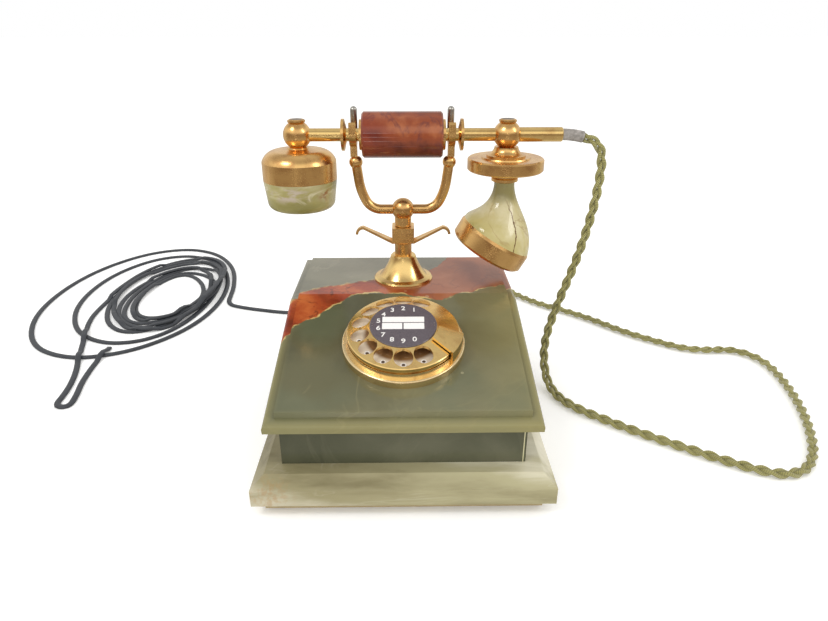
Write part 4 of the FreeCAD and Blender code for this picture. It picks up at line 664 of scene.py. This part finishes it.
def laid_on_dial(name, mesh, height):
    """A mesh as an object, laid at a height above the panel in line with the dial."""
    mesh.transform(dial_place @ Matrix.Translation((0, 0, height)))
    return add_object(name, mesh)


plate_eyelets = laid_on_dial("plate_eyelets", eyelet_mesh, plate_top)
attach(plate_eyelets, "base")

# Dial label: a charcoal disc in the middle of the finger wheel, with white digits and three number cards.
# The digits stand upright beside their holes, and two pins at each side hold the cover.
label_finish, shader, place = new_material("charcoal_label")
label_grain = noise(place, scale=1200.0, detail=3.0)
label_colour = ramped(label_grain, [(0.3, paint(78, 70, 77)), (0.7, paint(100, 92, 98))])
coat(shader, label_colour, roughness=0.4)
feed(shader.inputs["Coat Weight"], 0.3)
dress(label_finish, "label_disc")
print_stops = [(0.25, paint(214, 210, 206)), (0.6, paint(246, 244, 240))]
print_finish = grained("white_print", (900.0, 3.0), print_stops, gloss=0.5)
label_top = dial_top("label_disc")
print_thick = 0.00006
digit_circle = 0.0170
digit_tall = 0.0060
digit_swell = 0.00008
digit_meshes = []


def joined(name, meshes):
    """Several meshes as one mesh."""
    corners, faces = [], []
    for mesh in meshes:
        first = len(corners)
        corners += [vertex.co.copy() for vertex in mesh.vertices]
        faces += [[first + corner for corner in face.vertices] for face in mesh.polygons]
    whole = bpy.data.meshes.new(name)
    whole.from_pydata(corners, [], faces)
    return whole


for number in range(hole_count):
    text = bpy.data.curves.new("digit", "FONT")
    text.body = str((number + 1) % 10)
    text.align_x = "CENTER"
    text.align_y = "CENTER"
    text.size = digit_tall
    text.extrude = print_thick
    text.offset = digit_swell
    digit_mesh = finished_mesh("digit", add_object("digit", text))
    turn = hole_first + hole_step * number
    digit_spot = (digit_circle * math.cos(turn), digit_circle * math.sin(turn), 0)
    digit_mesh.transform(Matrix.Translation(digit_spot))
    digit_meshes.append(digit_mesh)
digits_mesh = joined("dial_digits", digit_meshes)
digits_mesh.materials.append(print_finish)
dial_digits = laid_on_dial("dial_digits", digits_mesh, label_top + print_thick)
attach(dial_digits, "dial")


def plates(name, spots, thick, corner):
    """Thin rectangular plates with softened corners, each given by its middle and its two sides."""
    made = []
    for middle_x, middle_y, wide, tall in spots:
        outline = []
        for quarter, (side, end) in enumerate(((1, 1), (-1, 1), (-1, -1), (1, -1))):
            for step in range(4):
                turn = math.radians(90 * quarter + 30 * step)
                outline.append((middle_x + side * (wide / 2 - corner) + corner * math.cos(turn),
                                middle_y + end * (tall / 2 - corner) + corner * math.sin(turn)))
        count = len(outline)
        plate = bpy.data.meshes.new(name)
        corners = [(x, y, 0) for x, y in outline] + [(x, y, thick) for x, y in outline]
        sides = [(k, (k + 1) % count, count + (k + 1) % count, count + k) for k in range(count)]
        top = tuple(range(count, 2 * count))
        bottom = tuple(reversed(range(count)))
        plate.from_pydata(corners, [], sides + [top, bottom])
        made.append(plate)
    return joined(name, made)


card_stops = [(0.3, paint(232, 228, 224)), (0.7, paint(250, 248, 245))]
card_finish = grained("card_paper", (2200.0, 4.0), card_stops, gloss=0.7, relief=0.00003)
card_thick = 0.0002
card_corner = 0.0003
long_card = (0, 0.0050, 0.0281, 0.0056)
left_card = (-0.0074, -0.0018, 0.0134, 0.0062)
right_card = (0.0071, -0.0018, 0.0137, 0.0062)
cards_mesh = plates("number_cards", (long_card, left_card, right_card), card_thick, card_corner)
cards_mesh.materials.append(card_finish)
number_cards = laid_on_dial("number_cards", cards_mesh, label_top)
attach(number_cards, "dial")
pin_out = 0.0207
pin_up = 0.0011
pin_wide = 0.0007
pin_spots = [(side * pin_out, end * pin_up, pin_wide, pin_wide) for side in (-1, 1) for end in (-1, 1)]
pins_mesh = plates("cover_pins", pin_spots, card_thick, card_corner)
pins_mesh.materials.append(nickel)
cover_pins = laid_on_dial("cover_pins", pins_mesh, label_top)
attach(cover_pins, "dial")

# Works inside: the dial's case, the capsules and terminals are dark plastic, the board brown resin.
# The coils are varnished copper wire, wound in close turns, with painted shade in the grooves between the
# turns.
dress(moulded("dark_plastic", paint(28, 25, 22), paint(44, 40, 36), gloss=0.45), "dial_case",
      "receiver_capsule", "transmitter", "terminal_block")
dress(moulded("resin_board", paint(96, 66, 32), paint(122, 88, 48), gloss=0.5), "circuit_board")
wire_finish, shader, place = new_material("copper_wire")
wire_turn = add_node(place.id_data, "ShaderNodeTexWave", {"Vector": place, "Scale": 900.0, "Distortion": 0.4},
                     wave_type="BANDS", bands_direction="X").outputs[1]
# Painted shade: each turn's colour darkens towards the grooves between the turns.
coat(shader, ramped(wire_turn, [(0.1, paint(92, 40, 20)), (0.8, paint(176, 92, 50))]), roughness=0.35)
feed(shader.inputs["Metallic"], 0.8)
add_relief(shader, wire_turn, distance=0.0003)
dress(wire_finish, "induction_coil", "ringer_coil")

# Grip: a turned cylinder of red-brown onyx on the handset's rod, polished, with slanting violet streaks.
# It is a warmer brown in the middle and deeper red at the left, and painted shade darkens its underside.
grip_stone, shader, place = new_material("red_onyx")
grip_colours = (paint(86, 40, 30), paint(134, 66, 40), paint(166, 98, 62), paint(98, 52, 50))
stone = add_onyx(place, grip_colours, scales=(42.0, 9.0), veins=(0.7, 0.07), chips=0.2,
                 turn=(0, 0.6, 0.3), shift=(0.4, 0.1, 0))
grip_spot = split(place)
grip_low, grip_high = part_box("grip")
grip_axis = (grip_low.z + grip_high.z) / 2
red_from = 0.004
red_to = -0.03
red_share = 0.55
shade_reach_below = -0.015
shade_share = 0.5
left_red = times(eased(grip_spot["X"], red_from, red_to), red_share)
grip_colour = mixed(left_red, stone["Colour"], paint(120, 44, 32))
# Painted shade: below its axis the grip is painted darker, where its underside lies in shade.
below = times(eased(minus(grip_spot["Z"], grip_axis), 0.0, shade_reach_below), shade_share)
grip_colour = mixed(below, grip_colour, paint(84, 44, 36))
polish(shader, grip_colour, stone, matt=0.45)
dress(grip_stone, "grip")

# Receiver cup and mouthpiece: pale yellow-green onyx, turned hollow and polished.
# The cup has lilac and brown streaks, and the mouthpiece a greener neck and a dark mended crack.
cup_stone, shader, place = new_material("cup_onyx")
cup_colours = (paint(128, 121, 70), paint(154, 145, 92), paint(180, 170, 128), paint(202, 192, 160))
cup_stretch = remapped(place, scale=(0.6, 0.6, 1.8))
stone = add_onyx(cup_stretch, cup_colours, scales=(30.0, 8.0), veins=(0.7, 0.06), chips=0.3,
                 turn=(0.15, 0.1, 0))
lilac_spot = (-0.049, 0.0155, 0.304)
lilac_reach = 0.016
lilac = times(patch(cup_stretch, lilac_spot, lilac_reach, grain=120.0), 0.8)
cup_colour = mixed(lilac, stone["Colour"], paint(184, 168, 158))
rust_spot = (-0.0555, 0.032, 0.168)
rust_reach = 0.0085
rust = times(patch(place, rust_spot, rust_reach, grain=220.0), 0.9)
cup_colour = mixed(rust, cup_colour, paint(138, 88, 50))
polish(shader, cup_colour, stone, matt=0.6)
dress(cup_stone, "receiver_cup")

mouth_stone, shader, place = new_material("mouth_onyx")
mouth_colours = (paint(152, 140, 78), paint(184, 171, 114), paint(208, 198, 160), paint(140, 106, 58))
stone = add_onyx(place, mouth_colours, scales=(26.0, 7.0), veins=(0.45, 0.025), chips=0.3,
                 turn=(0.5, 0.2, 0.1))
mouth_spot = split(place)
neck_from = 0.160
neck_to = 0.172
neck_wobble = 0.012
neck_share = 0.8
neck_ragged = plus(mouth_spot["Z"], times(noise(place, scale=120.0), neck_wobble))
neck_green = times(eased(neck_ragged, neck_from, neck_to), neck_share)
mouth_colour = mixed(neck_green, stone["Colour"], paint(126, 118, 72))
honey_spot = (0.091, 0.042, 0.127)
honey_reach = 0.011
honey = times(patch(place, honey_spot, honey_reach, grain=90.0), 0.85)
mouth_colour = mixed(honey, mouth_colour, paint(178, 156, 60))
rod_back = 0.0515
crack_marks = [(0.110, 0.0822), (0.1226, 0.0823), (0.1371, 0.0845), (0.1449, 0.0832), (0.162, 0.0769)]
crack_span = (crack_marks[0][0], crack_marks[-1][0])
crack_reach = (0.070, 0.095)
crack_wobble = 0.0022
crack_half = 0.0006
crack_core = 0.0002
crack_fade = (0.165, 0.150)
crack_across = traced(mouth_spot["Z"], crack_span, crack_marks, crack_reach)
crack_shake = times(minus(noise(place, scale=400.0), 0.5), crack_wobble)
crack_off = unsigned(minus(plus(mouth_spot["X"], crack_shake), crack_across))
crack_line = eased(crack_off, crack_half, crack_core)
crack_front = worked("LESS_THAN", mouth_spot["Y"], rod_back)
crack_low_part = eased(mouth_spot["Z"], *crack_fade)
crack_mask = times(times(crack_line, crack_front), crack_low_part)
mouth_colour = mixed(crack_mask, mouth_colour, paint(96, 62, 30))
polish(shader, mouth_colour, stone, matt=0.6)
dress(mouth_stone, "mouth_bell")

# Strain relief and glands: grey rubber bushes where the cords go in, scuffed and mottled.
# They are moulded and pushed onto the tube's end and into the rear wall.
rubber_stops = [(0.3, paint(112, 106, 100)), (0.55, paint(150, 144, 138)), (0.75, paint(178, 170, 164))]
rubber = grained("grey_rubber", (260.0, 5.0, 0.65), rubber_stops, gloss=0.55, relief=0.0004)
dress(rubber, "strain_relief", "cord_glands")

# Handset cord: three textile-covered wires plaited together, olive gold, limp, 1.1 m from handset to base.
# It leaves the handset's strain relief, hangs to the table, lies in a wide loop and goes in at the rear.
relief_bend = 0.064
relief_turn = math.radians(14)
tail_end = 0.1175
rod_height = 0.2074
relief_end = Vector((tail_end + relief_bend * math.sin(relief_turn), rod_back,
                     rod_height - relief_bend * (1 - math.cos(relief_turn))))
relief_way = Vector((math.cos(relief_turn), 0, -math.sin(relief_turn)))
hanging_route = [
    relief_end + relief_way * 0.0003, relief_end + relief_way * 0.007, (0.147, rod_back, 0.1985),
    (0.1496, rod_back, 0.186), (0.149, rod_back, 0.171), (0.1475, rod_back, 0.154), (0.1435, rod_back, 0.131),
    (0.137, rod_back, 0.104), (0.129, 0.0516, 0.078), (0.1225, 0.0518, 0.054), (0.1195, 0.052, 0.036),
    (0.1192, 0.049, 0.019), (0.1205, 0.038, 0.0076), (0.1235, 0.022, 0.0038)]
cord_lying = 0.0037
table_route = [
    (0.132, 0.004), (0.150, -0.0135), (0.176, -0.035), (0.210, -0.059), (0.240, -0.078), (0.259, -0.0845),
    (0.276, -0.079), (0.291, -0.061), (0.303, -0.037), (0.314, -0.008), (0.322, 0.024), (0.326, 0.054),
    (0.325, 0.074), (0.3175, 0.0885), (0.304, 0.0965), (0.285, 0.095), (0.264, 0.098), (0.243, 0.113),
    (0.218, 0.134), (0.194, 0.164), (0.172, 0.185), (0.147, 0.204), (0.126, 0.230), (0.112, 0.258),
    (0.093, 0.275), (0.070, 0.277), (0.053, 0.262), (0.046, 0.240), (0.0436, 0.215), (0.043, 0.196)]
rising_route = [
    (0.0425, 0.178, 0.0048), (0.0418, 0.164, 0.0115), (0.041, 0.153, 0.024), (0.0404, 0.141, 0.037),
    (0.040, 0.125, 0.045), (0.040, 0.110, 0.045)]
handset_route = hanging_route + [(*spot, cord_lying) for spot in table_route] + rising_route


def smooth_line(name, route, step):
    """Points an even step apart on a smooth line that has the route as its control points."""
    curve = bpy.data.curves.new(name, "CURVE")
    curve.dimensions = "3D"
    curve.resolution_u = 16
    spline = curve.splines.new("NURBS")
    spline.points.add(len(route) - 1)
    for point, spot in zip(spline.points, route):
        point.co = (*spot, 1)
    spline.order_u = 3
    spline.use_endpoint_u = True
    line_mesh = finished_mesh(name, add_object(name, curve))
    points = np.array([vertex.co for vertex in line_mesh.vertices])
    along = np.concatenate([[0], np.cumsum(np.linalg.norm(np.diff(points, axis=0), axis=1))])
    marks = np.linspace(0, along[-1], round(along[-1] / step) + 1)
    return np.stack([np.interp(marks, along, points[:, axis]) for axis in range(3)], axis=1), marks


def unit_rows(rows):
    """Rows of numbers as directions of length one."""
    return rows / np.linalg.norm(rows, axis=1)[:, None]


def carried_frames(points, first_side):
    """A side and an up at each point of a line, carried along it without twist."""
    ways = unit_rows(np.gradient(points, axis=0))
    sides = np.zeros_like(points)
    side = np.array(first_side, float)
    for number, way in enumerate(ways):
        side = side - way * (side @ way)
        side /= np.linalg.norm(side)
        sides[number] = side
    return sides, np.cross(ways, sides)


def swept_tubes(name, lines, section, marks):
    """One mesh of tubes, each with its section set across its line, and a map along and around it."""
    corners, faces, flat = [], [], []
    count = len(section)
    for points, sides, ups in lines:
        first = len(corners)
        for point, side, up in zip(points, sides, ups):
            corners += [tuple(point + side * across + up * high) for across, high in section]
        for ring in range(len(points) - 1):
            for corner in range(count):
                here = first + ring * count + corner
                beside = first + ring * count + (corner + 1) % count
                faces.append((here, beside, beside + count, here + count))
                low, high = marks[ring], marks[ring + 1]
                flat += [(low, corner / count), (low, (corner + 1) / count),
                         (high, (corner + 1) / count), (high, corner / count)]
        last = first + (len(points) - 1) * count
        faces.append(tuple(first + corner for corner in reversed(range(count))))
        faces.append(tuple(last + corner for corner in range(count)))
        flat += [(marks[0], 0.0)] * count + [(marks[-1], 0.0)] * count
    mesh = bpy.data.meshes.new(name)
    mesh.from_pydata(corners, [], faces)
    layer = mesh.uv_layers.new(name="along")
    layer.data.foreach_set("uv", np.array(flat, np.float32).ravel())
    mesh.polygons.foreach_set("use_smooth", [True] * len(mesh.polygons))
    return mesh


plait_step = 0.0011
plait_strands = 3
plait_length = 0.033
plait_swing = 0.0023
plait_depth = 0.0014
strand_radius = 0.00142
strand_sides = 8
cord_line, cord_marks = smooth_line("handset_line", handset_route, plait_step)
cord_sides, cord_ups = carried_frames(cord_line, (math.sin(relief_turn), 0, math.cos(relief_turn)))
strand_lines = []
for strand in range(plait_strands):
    turn = 2 * math.pi * (cord_marks / plait_length + strand / plait_strands)
    strand_line = (cord_line + cord_sides * (plait_swing * np.sin(turn))[:, None]
                   + cord_ups * (plait_depth * np.sin(2 * turn))[:, None])
    strand_lines.append((strand_line, *carried_frames(strand_line, (0, 1, 0))))
strand_turns = [2 * math.pi * corner / strand_sides for corner in range(strand_sides)]
strand_section = [(strand_radius * math.cos(turn), strand_radius * math.sin(turn)) for turn in strand_turns]
plait_mesh = swept_tubes("handset_cord_plait", strand_lines, strand_section, cord_marks)
textile, shader, place = new_material("olive_textile")
strand_map = add_node(place.id_data, "ShaderNodeUVMap", uv_map="along").outputs[0]
strand_spot = split(strand_map)
yarn_pitch = 0.0011
yarn_twist = 2.0
yarn_turn = plus(worked("DIVIDE", strand_spot["X"], yarn_pitch), times(strand_spot["Y"], yarn_twist))
yarn_wave = unsigned(worked("SINE", times(yarn_turn, math.pi)))
cord_cloud = noise(place, scale=90.0, detail=4.0)
cord_fuzz = noise(place, scale=2500.0, detail=3.0)
cord_tone = mixed(cord_cloud, paint(136, 130, 70), paint(178, 172, 108))
# Painted shade: the gaps between the yarn's twists are painted dark, as shaded crevices.
cord_tone = mixed(eased(yarn_wave, 0.0, 0.7), paint(92, 86, 42), cord_tone)
fuzz_share = times(eased(cord_fuzz, 0.5, 0.8), 0.35)
cord_tone = mixed(fuzz_share, cord_tone, paint(214, 208, 150))
coat(shader, cord_tone, roughness=0.8)
feed(shader.inputs["Sheen Weight"], 0.3)
add_relief(shader, yarn_wave, distance=0.0003)
plait_mesh.materials.append(textile)
handset_cord = add_object("handset_cord_plait", plait_mesh)
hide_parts("handset_cord")
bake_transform(handset_cord)

# Line cord: a flat dark twin cable from the rear of the base, gathered in a loose oblong coil beside it.
# It winds in to the coil's middle on the table and out again on top. Its folded end lies towards the front.
coil_middle = Vector((-0.262, 0.240, 0.0027))
coil_outer = 0.064
coil_step = 0.006
coil_step_up = 0.0078
coil_stretch = 1.85
coil_turns_down = 5
coil_turns_up = 3.5
coil_lift = 0.0058
climb_early = 0.25
climb_rate = 2
coil_fan = 0.082
coil_fan_turns = 3.2
coil_first = 0.03
coil_shift = Vector((-0.006, 0.014, 0))
coil_points_per_turn = 14
heap_sway = 0.0062
sway_rate = 3
sway_across = ((0.6, 8.23, 0.6), (0.4, 13.6, 3.8))
sway_along = ((0.6, 7.73, 2.5), (0.4, 11.7, 1.3))


def swayed(turns, waves):
    """How far a turn strays, as a sum of waves that each have a share, a rate and a start."""
    return sum(share * math.sin(rate * turns + start) for share, rate, start in waves)


def coil_spot(turns):
    """A point of the coil, which winds in on the table from wide loops, then out again on top."""
    around = 2 * math.pi * (turns + coil_first)
    up_turns = max(0, turns - coil_turns_down)
    radius = coil_outer - coil_step * min(turns, coil_turns_down) + coil_step_up * up_turns
    loose = max(0, 1 - turns / coil_fan_turns)
    radius += coil_fan * loose * ((1 - math.cos(around)) / 2) ** 2
    climb = min(1, max(0, (turns - coil_turns_down + climb_early) * climb_rate))
    raised = climb * climb * (3 - 2 * climb)
    ring_across = radius * math.cos(around)
    ring_along = coil_stretch * radius * math.sin(around)
    ring_spot = Vector((ring_across, ring_along, coil_lift * raised))
    turns_left = coil_turns_down + coil_turns_up - turns
    sway = heap_sway * min(1, max(0, sway_rate * turns), max(0, sway_rate * turns_left))
    stray = Vector((swayed(turns, sway_across), swayed(turns, sway_along), 0))
    return coil_middle + ring_spot + coil_shift * (up_turns / coil_turns_up) + stray * sway


def coil_way(turns):
    """The way the cable runs at a point of the coil."""
    nudge = 0.001
    return (coil_spot(turns + nudge) - coil_spot(turns - nudge)).normalized()


coil_end = coil_turns_down + coil_turns_up - coil_first
coil_count = round(coil_end * coil_points_per_turn)
coil_lead_in = 0.019
coil_run_out = 0.020
lead_route = [
    (-0.040, 0.110, 0.045), (-0.040, 0.125, 0.045), (-0.0406, 0.141, 0.037), (-0.0416, 0.153, 0.024),
    (-0.043, 0.164, 0.0105), (-0.047, 0.177, 0.0034), (-0.058, 0.186, 0.0027), (-0.077, 0.1895, 0.0027),
    (-0.102, 0.1885, 0.0027), (-0.128, 0.190, 0.0027), (-0.154, 0.197, 0.0027), (-0.176, 0.204, 0.0027),
    (-0.194, 0.213, 0.0027), coil_spot(0) - coil_way(0) * coil_lead_in]
coil_route = [coil_spot(coil_end * number / coil_count) for number in range(coil_count + 1)]
tail_route = [
    coil_spot(coil_end) + coil_way(coil_end) * coil_run_out,
    (-0.329, 0.190, 0.0085), (-0.324, 0.164, 0.0085),
    (-0.315, 0.138, 0.0085), (-0.306, 0.111, 0.0085), (-0.2975, 0.086, 0.0086), (-0.290, 0.066, 0.0078),
    (-0.2848, 0.046, 0.0032), (-0.2822, 0.029, 0.0027), (-0.2815, 0.011, 0.0027), (-0.269, 0.0095, 0.0027),
    (-0.2715, 0.028, 0.0027), (-0.2762, 0.046, 0.0032), (-0.279, 0.067, 0.008), (-0.2805, 0.088, 0.0088),
    (-0.280, 0.112, 0.0086)]
line_route = lead_route + coil_route + tail_route
line_step = 0.003
line_points, line_marks = smooth_line("line_cord_line", line_route, line_step)
twin_apart = 0.0012
twin_radius = 0.0013
twin_points = 7
twin_arc = 75
twin_step = 2 * twin_arc / (twin_points - 1)


def laid_heights(points, least, reach, slope, apart, rounds):
    """Heights for a cable that lies on the table and over its own earlier turns."""
    flat_points = points[:, :2]
    gaps = np.linalg.norm(flat_points[:, None] - flat_points[None], axis=2)
    heights = np.full(len(points), least)
    for _ in range(rounds):
        needed = np.full(len(points), least)
        for number in range(apart, len(points)):
            under = heights[:number - apart][gaps[number, :number - apart] < reach]
            if len(under):
                needed[number] = under.max() + 2 * least
        for number in range(1, len(points)):
            needed[number] = max(needed[number], needed[number - 1] - slope)
        for number in range(len(points) - 2, -1, -1):
            needed[number] = max(needed[number], needed[number + 1] - slope)
        heights = needed
    return heights


air_length = 0.14
lying = line_marks >= air_length
line_points[~lying, 2] = np.maximum(line_points[~lying, 2] - twin_radius, twin_radius)
line_points[lying, 2] = laid_heights(line_points[lying], least=twin_radius, reach=0.0044, slope=0.0009,
                                     apart=12, rounds=8)
line_ways = unit_rows(np.gradient(line_points, axis=0))
line_sides = unit_rows(np.cross(line_ways, (0, 0, 1)))
line_ups = np.cross(line_sides, line_ways)
twin_section = []
for side, middle_turn in ((1, 0), (-1, 180)):
    for step in range(twin_points):
        turn = math.radians(middle_turn - twin_arc + twin_step * step)
        twin_section.append((side * twin_apart + twin_radius * math.cos(turn), twin_radius * math.sin(turn)))
line_mesh = swept_tubes("line_cord_twin", [(line_points, line_sides, line_ups)], twin_section, line_marks)
cable_skin, shader, place = new_material("slate_cable")
skin_cloud = noise(place, scale=140.0, detail=4.0)
skin_scuff = noise(place, scale=1800.0, detail=3.0)
skin_tone = mixed(skin_cloud, paint(44, 47, 52), paint(68, 72, 78))
scuff_share = times(eased(skin_scuff, 0.6, 0.8), 0.3)
skin_tone = mixed(scuff_share, skin_tone, paint(104, 106, 108))
coat(shader, skin_tone, plus(times(skin_cloud, 0.2), 0.38))
add_relief(shader, skin_scuff, distance=0.0001)
line_mesh.materials.append(cable_skin)
line_cord = add_object("line_cord_twin", line_mesh)
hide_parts("line_cord_lead", "line_cord_coil", "line_cord_tail")
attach(line_cord, "base")
